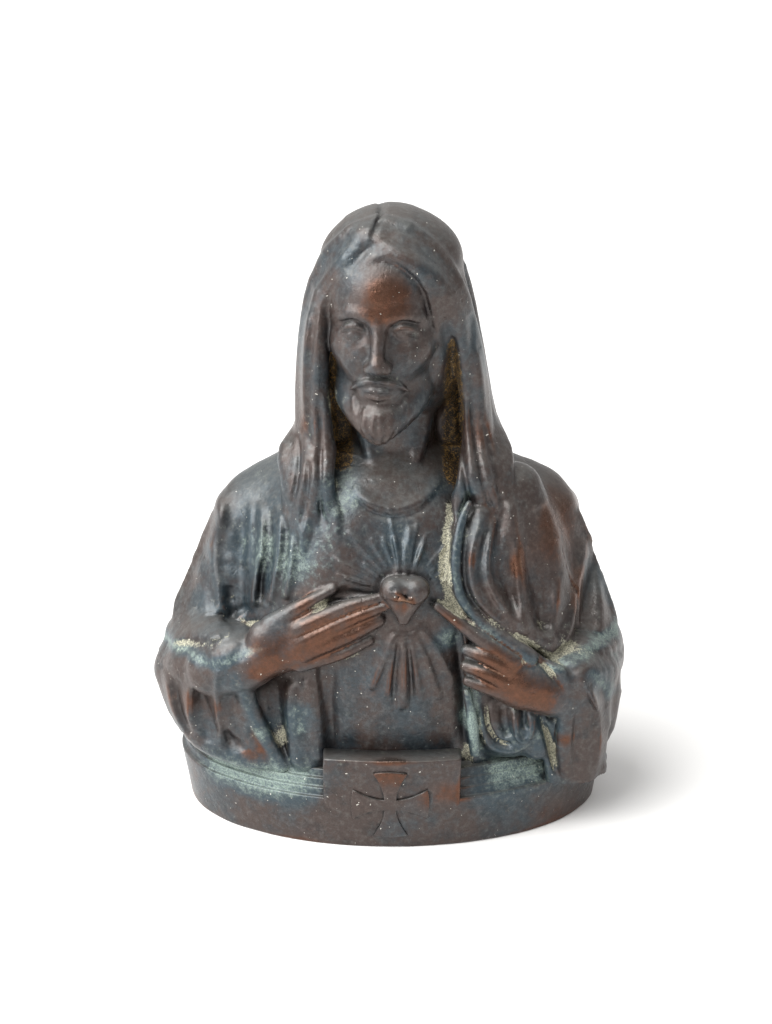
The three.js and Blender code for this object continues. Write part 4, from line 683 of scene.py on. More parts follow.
def placed_head(form):
    cb, sb, ct, st = math.cos(HEAD_BOW), math.sin(HEAD_BOW), math.cos(HEAD_TURN), math.sin(HEAD_TURN)
    turn = np.array([[ct, -st, 0], [st, ct, 0], [0, 0, 1]])
    turn = (np.array([[1, 0, 0], [0, cb, sb], [0, -sb, cb]]) @ turn).astype(np.float32)
    reach = 44

    def depth(p, low, high):
        q = (p - HEAD_MIDDLE) / HEAD_SHARE @ turn.T
        return form.depth(q, q.min(0), q.max(0)) * HEAD_SHARE

    return Form(HEAD_MIDDLE - reach, HEAD_MIDDLE + reach, depth)


# The figure's parts, from the head down. The points of the face and beard are in the head's own frame,
# and all others are measured from the middle of the base's underside.


def face():
    skull = blob([0, 3, 6.5], [18.4, 23, 21.5])
    forehead = blob([0, -7, 8.6], [15.6, 17.4, 17.4])
    middle = blob([0, -6.6, -7.6], [14.5, 16.4, 21])
    jaws = both_sides(lambda s:
        limb([[s * 11.2, -3, -15.6], [s * 9.2, -11, -23], [s * 3.6, -18.6, -27.6]], [4, 4.2, 4.2]))
    cheeks = both_sides(lambda s:
        limb([[s * 13, -8, -3.2], [s * 10.4, -15.6, -5.6], [s * 6.8, -18, -9]], [2.4, 3.4, 3]))
    mass = joined(6, skull, forehead, middle, *jaws, *cheeks)
    sockets = both_sides(lambda s: blob([s * 7.4, -25.2, 0], [4.9, 4, 3.2], s * -8))
    hollowed = carved(3, mass, *sockets)
    brow_bone = both_sides(lambda s:
        limb([[s * 12.6, -16.4, 3], [s * 8.6, -21.4, 5], [s * 3.4, -22.9, 4.6]], [1, 1.3, 1.3]))
    nose = joined(1.8,
        limb([[0, -22.9, 4.8], [0, -24.9, -2], [0, -27.4, -8.6]], [1.7, 1.8, 2]),
        blob([0, -27.2, -9.8], [2.5, 2.5, 2.3]),
        limb([[0, -22.6, -1], [0, -24, -9.4]], [1.6, 2]),
        *both_sides(lambda s: blob([s * 2.6, -25.2, -10.6], [1.7, 2.3, 1.8])))
    mouth = blob([0, -19.6, -17.8], [6.2, 4.4, 4.8])
    chin = blob([0, -20.6, -26.8], [5, 4.2, 4])
    lips = [
        limb([[-4.6, -22.2, -18.3], [-1.8, -24, -17.6], [0, -24.1, -17.9], [1.8, -24, -17.6],
            [4.6, -22.2, -18.3]], [0.3, 0.6, 0.6, 0.6, 0.3]),
        limb([[-3.6, -22.4, -19.3], [0, -23.8, -19.9], [3.6, -22.4, -19.3]], [0.4, 0.8, 0.4])]
    eyes = both_sides(lambda s: joined(0.5,
        blob([s * 7.4, -18.2, -0.8], [4.4, 4.5, 3.9]),
        limb([[s * 11.9, -18.9, -1.2], [s * 9.7, -21.4, 1], [s * 7.4, -22.5, 1.6], [s * 5, -22.2, 0.8],
            [s * 3.4, -21.2, -1.2]], [0.5, 0.75, 0.8, 0.75, 0.5]),
        limb([[s * 11.4, -19.4, -1.6], [s * 8.8, -21.5, -3.4], [s * 6, -21.7, -3.5],
            [s * 3.7, -21.1, -1.8]], [0.4, 0.5, 0.5, 0.4])))
    slits = both_sides(lambda s:
        limb([[s * 10.8, -20.8, -1.1], [s * 7.4, -23.5, 0], [s * 4.4, -22.6, -0.9]], [0.3, 0.6, 0.3]))
    creases = both_sides(lambda s:
        limb([[s * 11.6, -19.8, 1.9], [s * 7.4, -23.2, 3.5], [s * 4, -22.6, 2.1]], [0.3, 0.55, 0.3]))
    nostrils = both_sides(lambda s: limb([[s * 1.6, -26.8, -12.1], [s * 2.4, -25.2, -11.9]], [0.4, 0.4]))
    parted = limb([[-4.8, -22.8, -18.7], [0, -24.9, -18.8], [4.8, -22.8, -18.7]], [0.3, 0.45, 0.3])
    solid = joined(1.8, joined(3, hollowed, *brow_bone, mouth, chin), nose)
    whole = joined(0.7, joined(0.8, solid, *lips), *eyes)
    return carved(0.5, whole, *slits, *creases, *nostrils, parted)


def beard():
    jaws = both_sides(lambda s:
        limb([[s * 13.6, -4.4, -10], [s * 11.8, -9, -18.6], [s * 7.8, -16, -25.8], [s * 3.2, -20.4, -30]],
            [1, 2, 2.6, 2.8]))
    moustache = both_sides(lambda s:
        limb([[s * 0.8, -24.3, -14.7], [s * 3.4, -23.6, -15.1], [s * 6, -22, -16.2],
            [s * 8.6, -19.4, -18.4]], [0.4, 0.7, 0.7, 0.4]))
    tufts = both_sides(lambda s:
        limb([[s * 1.8, -22.4, -24.8], [s * 2.4, -22.6, -29.4], [s * 1.5, -21.2, -33.4]], [1, 2.4, 1.3]))
    curls = both_sides(lambda s: joined(0.4,
        limb([[s * 12.4, -9.8, -15.4], [s * 10, -15, -22.2], [s * 5.8, -20.4, -29.4]], [0.5, 1, 0.7]),
        limb([[s * 13.2, -6.4, -15], [s * 11.4, -11.6, -22.4], [s * 7.4, -17.6, -29.4]], [0.5, 1, 0.7]),
        limb([[s * 7.8, -18.8, -21.4], [s * 6.8, -20.6, -26], [s * 4, -22.4, -31.8]], [0.5, 0.9, 0.6]),
        limb([[s * 3.8, -23, -24], [s * 3.9, -24, -28.4], [s * 2.2, -23, -33]], [0.5, 0.9, 0.6]),
        limb([[s * 0.9, -24.6, -25], [s * 1.2, -25.2, -29.4], [s * 0.6, -23, -33.8]], [0.5, 0.9, 0.6])))
    return joined(1.3, *jaws, *moustache, *tufts, *curls)


def neck():
    throat = limb([[0.5, 0, 96], [0.5, -5, 116], [0, -6, 136]], [15.5, 12.4, 12])
    cords = both_sides(lambda s:
        limb([[s * 10 + 0.5, -10.6, 128], [s * 6.5 + 0.5, -17.4, 114], [s * 2 + 0.5, -20.4, 105]],
            [1.6, 1.4, 1.2]))
    return joined(4, throat, *cords)


def hair_mass():
    """A smooth cap open round the face, and a fall behind."""
    cap = joined(3, blob([-0.5, -7, 162], [20.6, 25.6, 24]), blob([0, -1, 148.5], [22.6, 25, 30]),
        blob([-0.2, -7, 171], [20.4, 18, 14.5]))
    fall = column([
        [86, 33, 14, 30.5, 0, 0],
        [100, 33.5, 10, 31, 0, 0],
        [110, 31, 8, 29, 0, 0],
        [125, 26.5, 6, 25.5, 0, 0],
        [145, 23.5, 6, 23.5, 0, 0],
        [165, 20, 6, 18, 0, 0]])
    opening = [
        blob([-2, -38, 153.5], [16, 21, 26]),
        limb([[-1, -30, 150], [0.5, -26, 116]], [14, 13.4])]
    return carved(2, joined(3, cap, fall), *opening)


STRAND_THICK = [2, 2.3, 3.2, 3.7, 3.8, 3.6, 3.1, 2.3, 0.8]  # half, from the parting to the tip


def hair():
    """Strands beside the face that end in locks, and strands down the back, with finer lines on them."""
    left = strands([
        [[-7, -20, 180.5], [-12.6, -21.6, 174.6], [-18.9, -17.6, 163.6], [-21, -20, 150.4],
            [-21.5, -18.5, 133.5], [-20.1, -21.5, 117.8], [-20.4, -26.4, 110.5], [-18.4, -27.3, 103.2],
            [-16.1, -31.4, 96.4]],
        [[-3.9, -16, 183.8], [-13.5, -15.7, 179], [-20.8, -9.4, 164.4], [-23.2, -12, 149.4],
            [-24.3, -11, 132.5], [-24.3, -16, 117.4], [-23.9, -24.4, 109.7], [-25.1, -26.3, 99.7],
            [-25.4, -29.7, 90.2]],
        [[-2, 1, 181], [-12.4, 1, 174.6], [-17.6, 1, 160.5], [-19, 0, 141], [-22.2, -3, 122],
            [-29.4, -13, 114.8], [-29.2, -19.6, 107.9], [-29.6, -20.7, 100.9], [-30.1, -23.7, 95.3]]],
        STRANDS, STRAND_THICK)
    right = strands([
        [[-5, -22, 179.9], [3.3, -25.9, 176.1], [12.3, -24.6, 168.8], [18.4, -18, 153.9],
            [22.1, -16, 137.8], [22.8, -18, 122.1], [21, -25, 110.6], [19.3, -26, 104.2],
            [18.7, -29.2, 98.6]],
        [[-2.8, -16.2, 183.8], [7.8, -18.7, 180.4], [17.2, -17.8, 166.5], [21.5, -12, 149.4],
            [24.3, -11, 132.5], [25.7, -17, 117.8], [25.6, -25, 109.9], [27.7, -24.2, 99.8],
            [28.9, -27.2, 90.4]],
        [[0, 1, 181], [14.2, 0, 174.4], [19.8, 1, 160.5], [23.4, 0, 141], [27, -3, 122], [31.4, -13, 114.8],
            [32.4, -20, 108.1], [35, -17.5, 97.9], [36.4, -20.9, 87.9]]],
        STRANDS, STRAND_THICK)
    locks = [
        limb([[-18.7, -21, 118.3], [-18.9, -26.4, 111.7], [-17.8, -26.5, 105], [-15.8, -29.7, 101],
            [-15.5, -32.2, 95.5]], [2.6, 2.2, 1.7, 1.3, 0.6]),
        limb([[-22.5, -18, 119.6], [-22.7, -25, 111.8], [-24.2, -25.4, 102.4], [-25, -28.5, 96.5],
            [-25.6, -30.2, 89.1]], [3.2, 2.9, 2.4, 1.9, 0.7]),
        limb([[22.5, -18, 119.6], [23.2, -25.2, 112.5], [25.4, -23.5, 103.5], [28, -25, 98.6],
            [29.5, -26.2, 93.8], [28.6, -28.3, 88.7]], [3.2, 2.8, 2.4, 2, 1.6, 0.7]),
        limb([[26, -17, 117.5], [27.9, -24, 110.8], [30.5, -20.2, 101.3], [31.9, -22.6, 96.1],
            [32.2, -24.3, 90.5]], [2.9, 2.6, 2.1, 1.6, 0.7])]
    bedding = [
        limb([[-22, -8, 120], [-23.6, -16, 111], [-25, -20.6, 104], [-26, -24, 96]], [6, 6.6, 6.2, 3.8]),
        limb([[-17.6, -5, 160], [-19.6, -6, 146], [-21.6, -6, 126]], [3, 4.2, 4.4]),
        limb([[18, -5, 160], [21, -6, 146], [24.6, -6, 126]], [3, 4.2, 4.4]),
        limb([[25, -8, 120], [26.8, -16, 111], [28.8, -20.6, 104], [30.4, -24, 96]], [6, 6.6, 6.2, 3.8]),
        blob([-5.6, -19.9, 179.6], [5, 3.4, 4.4])]
    behind = [round_strand(angle, [
        [182, 3, 5], [167, 16, 17], [146, 19.5, 22], [126, 22, 24], [108, 27, 27.5], [94, 30, 29]],
        [1, 3.4, 4.4, 4.8, 4.4, 2]) for angle in [-78, -52, -26, 0, 26, 52, 78]]
    mass = joined(1.5, joined(2.2, hair_mass(), *left, *right, *behind, *bedding), *locks)
    lines = [
        fold([[-2.3, 188.3], [-2.8, 185.9], [-4.2, 183.9], [-5.9, 180.9]], 0.8, -1),
        fold([[-4.2, 180.4], [-7.2, 177.9], [-9.5, 174.9], [-12, 171.5]], 1, -0.7),
        fold([[-21.7, 159.8], [-23.2, 145.2], [-23.4, 130.1], [-22.7, 118.8]], 1.1, -0.9),
        fold([[-23.8, 158.7], [-25.1, 143.7], [-25.9, 125.4], [-27, 112.8]], 1.2, 0.5),
        fold([[22.2, 157.5], [22.6, 141.4], [23.6, 128.1], [24.8, 117.3]], 1.1, -0.9),
        fold([[24.8, 146.7], [26.7, 128.4], [28.6, 116.2]], 1.2, 0.5),
        fold([[-13, 181.8], [-17.8, 175.4], [-20.5, 164.5]], 2.2, -0.5),
        fold([[5.6, 183.8], [13.5, 177.1], [17.8, 166]], 2.2, -0.5),
        fold([[-15.4, 171], [-19.9, 160.9], [-21.4, 146.8], [-21.8, 131.8]], 1, 0.5),
        fold([[-21.3, 135], [-20.4, 124.6], [-20.6, 114.5], [-20.4, 96.5]], 1, -1.2),
        fold([[-23.9, 115.8], [-24.1, 109.9], [-26.2, 96.1]], 0.9, -1.1),
        fold([[-26.7, 122.1], [-26.8, 111.9], [-29.1, 100.9]], 0.8, -0.9),
        fold([[19.5, 133.8], [19.8, 123], [20.9, 111.8], [23.5, 98]], 1, -1.2),
        fold([[22.5, 133.5], [23.4, 122.4], [26.1, 109.9], [30.5, 95.5]], 0.9, -1.1),
        fold([[26.3, 125.5], [29.1, 113.1], [33.7, 96.5]], 0.8, -0.9)]
    return dressed(mass, lines, FRONT)


def torso():
    return column([
        [18, 46, 36, 34, 0, 0],
        [30, 47, 37, 35, 0, 0],
        [50, 47, 37.6, 35, 0, 0],
        [70, 45, 37.6, 33, 0, 0],
        [88, 40, 34.5, 30, 0, 0],
        [100, 33, 30, 26, 0, 0],
        [108, 24, 25, 20, 0, 0],
        [116, 14, 17, 15, 0, 0]])


def shell():
    return column([
        [18, 49, 38.5, 38, 0, 0],
        [50, 50, 40.5, 39, 0, 0],
        [70, 49, 41, 37.5, 0, 0],
        [88, 44, 37.6, 34.5, 0, 0],
        [100, 39, 32.6, 30, 0, 0],
        [109, 30, 26, 25, 0, 0],
        [114, 22, 18, 19, 0, 0]])


def arms():
    return [
        limb([[-27, 4, 94], [-38, 2, 90], [-40.6, 0, 83], [-46.8, -3, 66], [-53.6, -8, 51]],
            [13, 13.2, 13.2, 13.8, 14.4]),
        limb([[28, 4, 94.5], [40.5, 2, 91], [43.2, 0, 83], [47.6, -3, 66], [53.6, -8, 50.5]],
            [13, 13.4, 13.6, 14, 15.4])]


def tunic():
    pleats = [
        fold([[0.9, 67.9], [-2.6, 59], [-6.1, 49.4]], 1.3, 1.5),
        fold([[2, 67.8], [0, 58], [-1.5, 46.9]], 1.1, 1),
        fold([[3.4, 67.8], [3.5, 55.7], [3.2, 43]], 1.3, 1.3),
        fold([[4.9, 67.8], [6.6, 57.2], [8.7, 44.7]], 1.1, 1),
        fold([[6.3, 68.3], [10.1, 58.3], [14, 45.5]], 1.2, 1),
        fold([[8, 69.8], [13.3, 61.2], [18.6, 49.5]], 1.3, 0.9),
        fold([[2, 66.9], [0.6, 54.1], [0.6, 41]], 0.8, -0.8),
        fold([[4.6, 66.9], [5.5, 54], [5.8, 42.5]], 0.8, -0.8),
        fold([[-13.6, 56], [-12.2, 47], [-11.7, 32.1]], 3, 0.9),
        fold([[-17.1, 55.6], [-17.8, 43.1], [-17.1, 28.1]], 1.6, -0.8),
        fold([[-7.6, 40.8], [-6.4, 34.2], [-7, 28.8]], 2.5, 0.6),
        fold([[17.9, 65.7], [20.4, 49.2], [21.2, 29.1]], 1.4, -1)]
    return dressed(torso(), pleats, FRONT)


def mantle():
    """Shoulders, upper arms and an outer layer that stands open over the chest."""
    right_edge = [[21.2, 106.3], [17.4, 95.8], [16.3, 84.2], [19.2, 77], [21.4, 62.8], [22.7, 46.9],
        [23.8, 25.9]]
    left_edge = [[-12, 105.7], [-16.6, 92.3], [-20.1, 77.6], [-21.9, 65.5], [-22.6, 53.1], [-21.3, 40.3],
        [-20.6, 25.7]]
    opening = open_front(torso(), left_edge, right_edge, 76)
    folds = [
        fold([[-48.2, 103], [-52.9, 84.1], [-50.3, 69.5], [-48.2, 59.5]], 2.6, 1.4),
        fold([[-48.1, 73.7], [-47.6, 66.4], [-46.4, 59.5]], 1.7, -1.3),
        fold([[-56.9, 79.1], [-55.1, 68.3], [-52.6, 60.1]], 2.6, 0.8),
        fold([[-43.6, 92.3], [-44.5, 78.3], [-44, 65.1]], 2.4, -0.9),
        fold([[-38.2, 98.6], [-38.3, 87.4], [-41.4, 68.3]], 1.6, 1.4),
        fold([[-37.3, 85], [-38.2, 78.2], [-38.6, 71.9]], 1.2, -1.1),
        fold([[-32.3, 99.8], [-32.8, 88.8], [-36.1, 72.9]], 1.4, 1.3),
        fold([[-28.9, 94.7], [-29.2, 85.3], [-31, 75.6]], 1.3, 1),
        fold([[-34.6, 89], [-35.5, 80.7], [-37.3, 73]], 1.1, -0.7),
        fold([[26.3, 101.2], [23.2, 93.4], [22.6, 86.3], [24.4, 79.3], [28.5, 74], [35.2, 67.6]], 1.1, 0.8),
        fold([[27, 96.9], [25.5, 90.3], [25.5, 84.7], [28.2, 78.2], [32.8, 73.2]], 1, -0.6),
        fold([[29.8, 99.9], [27.8, 91.9], [27.8, 85], [30.8, 77.8], [36.4, 70.3]], 1.2, 1),
        fold([[31.3, 101.9], [30.7, 93.8], [31.4, 85.3], [33.8, 76.4]], 1.1, -0.8),
        fold([[33.3, 107.6], [35.6, 96.5], [37.6, 78.6], [38.6, 66.7]], 2.3, 1.3),
        fold([[33.4, 93.4], [34.4, 78.6], [35.7, 69]], 1.7, -0.9),
        fold([[42.2, 100.3], [42.5, 86.4], [42.6, 65.2]], 3.2, -1),
        fold([[48.4, 80.7], [47.2, 68], [45.5, 56.5]], 1.6, 0.9),
        fold([[57.8, 84.7], [53.8, 68.7], [48.5, 56.6]], 2.3, 1.1),
        fold([[60.1, 78.3], [57.5, 68], [53.8, 58.2]], 2, -0.8),
        fold([[61, 78.3], [62.1, 66.1], [61, 57.5]], 2, 1),
        fold([[-51.9, 96.7], [-49.1, 90.8], [-46, 84.9]], 2.6, 0.8),
        fold([[-41.2, 97.8], [-41.7, 87.3], [-42.6, 78.9]], 1.2, 0.8)]
    behind = [
        fold([[-6, 88], [-12, 60], [-14, 24]], 2.8, 1.7),
        fold([[5, 88], [4, 56], [7, 24]], 2.6, 1.5),
        fold([[15, 90], [21, 60], [27, 24]], 2.8, 1.9),
        fold([[-20, 90], [-30, 60], [-35, 24]], 2.8, 1.9),
        fold([[28, 88], [38, 62], [44, 30]], 2.6, 1.6),
        fold([[-33, 86], [-44, 60], [-48, 34]], 2.6, 1.6),
        fold([[0, 86], [-3, 56], [-3, 24]], 2, -1.5),
        fold([[10, 84], [13, 56], [17, 24]], 2, -1.5),
        fold([[-13, 86], [-21, 56], [-24, 24]], 2, -1.6),
        fold([[22, 88], [30, 60], [36, 24]], 2, -1.4),
        fold([[-26, 88], [-37, 60], [-42, 30]], 2, -1.4)]
    sides = [
        fold([[6, 96], [10, 70], [4, 44], [2, 28]], 2.6, 1.6),
        fold([[14, 92], [20, 66], [16, 40], [14, 26]], 2.6, 1.5),
        fold([[-2, 92], [-2, 74], [-8, 58]], 2.2, 1.2),
        fold([[10, 90], [15, 66], [10, 42], [8, 28]], 1.8, -1.5),
        fold([[3, 90], [4, 68], [-2, 50]], 1.8, -1.3)]
    lapel = [
        limb([[25.3, -27.4, 100.4], [23.6, -31, 92.2], [24.5, -33.8, 83.1], [29.4, -35, 74.9],
            [37.6, -34.4, 67.7], [45.4, -32, 61]], [2.6, 3.4, 3.8, 4, 3.6, 2.4]),
        limb([[30.7, -22, 98.9], [30.4, -26, 88.7], [31.9, -28, 78.5], [37.3, -29, 70.5]],
            [5, 6, 6.4, 5.4])]
    breast = limb([[35.6, -14, 102.8], [39.3, -17, 86.7], [42.1, -19.4, 71.8], [45.2, -22, 58.5]],
        [8, 10, 10.4, 8.4])
    cloth = joined(3.5, joined(7, carved(1, shell(), opening), *arms(), breast), *lapel)
    return dressed(dressed(dressed(dressed(cloth, folds, FRONT), behind, BACK), sides, LEFT), sides, RIGHT)


def border():
    """The mantle's rolled edge down the chest and along the forearm, with a fold beside it."""
    return joined(1.2,
        limb([[22.1, -29.4, 104.5], [20, -31.4, 100.1], [18.6, -34, 93.4], [18.3, -36, 86.5],
            [19.5, -37.3, 79.6], [23, -37.9, 74.3], [28.8, -38, 69.3], [36.4, -37.9, 63.9],
            [44.4, -36.8, 58]], [0.9, 1.4, 1.6, 1.7, 1.7, 1.7, 1.6, 1.5, 1]),
        limb([[21.8, -37.4, 48.7], [23.4, -38, 40], [24.3, -38.2, 29.8]], [1.2, 1.6, 1.6]))


def left_sleeve():
    forearm = joined(4,
        limb([[-55, -9, 50], [-52, -20, 53], [-46, -31, 57.5]], [14, 12, 9.5]),
        limb([[-63, -13, 45.4], [-60.3, -16, 36.2], [-56.8, -18, 28.5]], [8.4, 7.6, 6.2]),
        limb([[-57.6, -20, 49.8], [-55.6, -22.4, 39.2], [-50.7, -24.4, 28.3]], [8.6, 7.6, 5.6]),
        limb([[-49.6, -28.6, 52.4], [-46.3, -29.8, 41.3], [-40, -31, 27.5]], [7.2, 5.8, 3.6]),
        limb([[-56.1, -24.4, 28.3], [-45.1, -30.8, 24.8], [-32.9, -32.6, 23.1]], [3.6, 3, 2]),
        limb([[-44, -35, 54], [-41, -35.2, 43.2], [-36.8, -34.8, 32.7], [-32.2, -33.4, 23.8]],
            [2.2, 2, 1.8, 1.6]))
    folds = [
        fold([[-67.2, 48.5], [-65.7, 38.1], [-61.6, 27.8]], 1.6, 1),
        fold([[-63.5, 48.1], [-62.8, 39], [-59.7, 30.3]], 1.4, -0.8),
        fold([[-57.5, 55.4], [-59.6, 45], [-60.1, 31]], 1.6, 1.5),
        fold([[-54.8, 51.8], [-55.7, 42.7], [-54.6, 28.5]], 1.8, -1.2),
        fold([[-50.4, 57], [-51.3, 44.1], [-50.3, 27.5]], 1.5, 1.5),
        fold([[-47, 49.6], [-46.6, 41.8], [-43.7, 27.9]], 1.6, -1.1),
        fold([[-61.7, 27.5], [-58.8, 29.7], [-56.2, 32]], 1.2, 0.6)]
    lining = [
        limb([[-36.7, -24.6, 43.5], [-32.5, -27.6, 22.6]], [6.6, 6]),
        limb([[-39.1, -30, 45.3], [-38, -31.6, 36.3], [-35.5, -32, 25.1]], [1.8, 2.1, 1.9]),
        limb([[-26.5, -30.6, 43.6], [-25.2, -31.6, 25.2]], [5.4, 5.6]),
        limb([[-29, -33.2, 48.1], [-28.8, -34, 38.8], [-27.7, -34.6, 26.7]], [1.8, 2.1, 2.1]),
        limb([[-24.2, -34.8, 50.1], [-22.8, -35.6, 40.5], [-21.5, -36.2, 28.1]], [1.8, 2, 2])]
    return joined(1, dressed(forearm, folds, FRONT), joined(2.6, *lining))


def right_sleeve():
    forearm = joined(3.5,
        limb([[55, -9, 47.5], [55, -20, 48.5], [52.5, -29, 50.5]], [14.8, 12.4, 10]),
        limb([[62.3, -17, 40], [61.3, -18, 29.8], [59.2, -17, 18.7]], [6.3, 5.8, 4.4]),
        limb([[58.8, -26, 44.1], [60.4, -26, 31], [60.7, -23, 15.6]], [5, 4.6, 3.6]),
        limb([[57.4, -18, 40.4], [57.5, -17, 16.7]], [7.6, 5]),
        limb([[53.9, -25, 42.3], [54, -23.6, 28.2], [54.5, -21, 15.3]], [8.6, 8.4, 7]))
    cuff = limb([[45.8, -37.4, 57.7], [49, -38, 54.8], [50.9, -37.4, 48.7], [50.9, -35.8, 40.6],
        [50.7, -33.6, 29.8], [52.1, -30.4, 16.7]], [1.4, 2, 2.3, 2.5, 2.6, 2.3])
    grooves = [limb([[53.9, -36.4, 47.6], [55.3, -35.4, 41.4], [55.4, -33.4, 31.3], [55.3, -30.4, 20]],
        [0.6, 1.2, 1.4, 0.9])]
    folds = [
        fold([[57.5, 50.5], [60.2, 41.8], [61.2, 29.9], [60.5, 17.1]], 1.5, 2),
        fold([[64, 32.8], [64.2, 25.5], [63.2, 18.8]], 1.6, -0.8)]
    lining = [
        limb([[47.3, -30, 35.6], [49.6, -28, 14.1]], [3.8, 3.6]),
        limb([[55.4, -30, 42.7], [55.9, -26.6, 17.4]], [6, 5.4]),
        limb([[46.6, -28.6, 15.1], [53.2, -28, 13.5], [59.5, -24, 14.5], [62.7, -19, 19]],
            [2, 2.4, 2.4, 2]),
        limb([[42.3, -33.6, 38.3], [45.2, -33, 29.5], [48, -30.4, 16]], [1.2, 1.4, 1.4]),
        blob([34.2, -31, 36], [12.4, 6.4, 11]),
        limb([[40.1, -31, 38.3], [42.6, -31, 29.5]], [5, 5.2])]
    swags = [
        fold([[25.4, 46.6], [26.1, 37], [29.4, 30.5], [35.3, 29.2], [41.1, 31.9]], 1.5, 1.5),
        fold([[27.1, 44.7], [28.1, 37.6], [31.1, 32.7], [35.2, 31.4]], 0.7, -1.6),
        fold([[32.7, 44.1], [32.8, 38.9], [34.3, 34]], 1.8, -2),
        fold([[35.9, 43.4], [36.3, 35.3], [38.4, 32.7], [40.8, 34.9], [41.5, 41]], 1, 1.3),
        fold([[38.5, 43.4], [38.7, 36.3]], 1, -1.5),
        fold([[43.1, 39.9], [45.9, 31.5], [48.6, 19.3]], 1, -1.4)]
    sleeve = joined(1, carved(1, forearm, *grooves), cuff)
    return dressed(joined(1.2, dressed(sleeve, folds, FRONT), *lining), swags, FRONT)


def hand(wrist, palm, fingers):
    return joined(1.2, joined(3, *wrist, *palm), joined(0.3, *fingers))


def right_hand():
    return hand(
        [limb([[-52.2, -29, 52.6], [-42.8, -34, 55.8], [-36, -35.4, 60.6]], [8.4, 7.6, 6.8]),
            blob([-25.7, -35.6, 70.8], [7.6, 3, 4.4], 0, 28)],
        [
            blob([-30.7, -36.4, 62.6], [10, 4.8, 7.4], 0, 20),
            blob([-17.4, -34.8, 67.9], [21, 4.2, 7.4], 0, 22),
            limb([[-37.6, -36.2, 66.6], [-30.6, -36.8, 70]], [3.8, 2.8]),
            limb([[-25.5, -36.8, 63.7], [-13.9, -37, 68.2], [-5.8, -36.6, 72.4]], [5, 3.6, 2.6])],
        [
            limb([[-35.2, -36.4, 69.9], [-26.5, -36.8, 75.3], [-16.9, -36, 80.6]], [2.6, 2.2, 1.3]),
            limb([[-27.1, -38.6, 69.2], [-13.5, -39, 76], [-2.9, -38.4, 79.1]], [2.5, 2.1, 1.4]),
            limb([[-25.9, -39.4, 65.8], [-12.6, -39.6, 72.5], [-2, -38.8, 76.5]], [2.5, 2.1, 1.4]),
            limb([[-25.4, -39.2, 61.9], [-12.1, -39.4, 67.7], [-3.5, -38.6, 71.7]], [2.5, 2.1, 1.4]),
            limb([[-26.6, -38, 57.9], [-14.4, -38.4, 61.6], [-6.4, -37.8, 65.4]], [2.5, 2, 1.4])])


def left_hand():
    return hand(
        [limb([[53.9, -29, 44.2], [46.8, -34, 47.2], [39.6, -37.2, 50.6]], [7.6, 7.2, 6.8])],
        [blob([35.7, -38.6, 53.1], [9.6, 4.4, 8], 0, -25), blob([28.2, -36.4, 57.5], [8, 4, 8], 0, -25)],
        [
            limb([[34.6, -40.2, 60.2], [23.6, -39.6, 68.1], [12.9, -38, 76.2]], [3, 2.2, 1.2]),
            limb([[39.9, -39.2, 60.7], [30.5, -39, 67.8], [22.5, -37.6, 71.6]], [2.4, 1.8, 1.2]),
            limb([[33.2, -41, 58], [27.1, -41.4, 61.7], [21.6, -39.6, 63.1]], [2.5, 2.2, 1.7]),
            limb([[33, -41, 53.6], [27.1, -41.4, 56.6], [21.4, -39.6, 58]], [2.5, 2.2, 1.7]),
            limb([[34.2, -40, 49.3], [27.8, -40.4, 51.4], [22, -39.2, 53.1]], [2.3, 2, 1.6])])


def heart():
    """The heart with a crown of thorns and a wound."""
    lobes = [
        limb([[0.6, -38.6, 81.4], [3.4, -39, 72.5]], [4.1, 1.5]),
        limb([[6.9, -38.6, 81.4], [3.4, -39, 72.5]], [4.1, 1.5])]
    thorns = limb([[-2.3, -41, 81.8], [0.6, -42.4, 80.2], [5.7, -42.4, 79.9], [10, -41, 82.1]],
        [0.4, 0.5, 0.5, 0.4])
    twined = limb([[-2.3, -41, 79.9], [0.6, -42.6, 82.5], [5.7, -42.4, 79], [9.7, -41, 80.2]],
        [0.4, 0.5, 0.5, 0.4])
    wound = blob([0, -43, 83.2], [1.5, 1, 1])
    body = joined(1.6, *lobes, blob([3.7, -38.2, 82.5], [2.6, 3, 2.8]))
    return carved(0.3, joined(0.5, body, thorns, twined), wound)


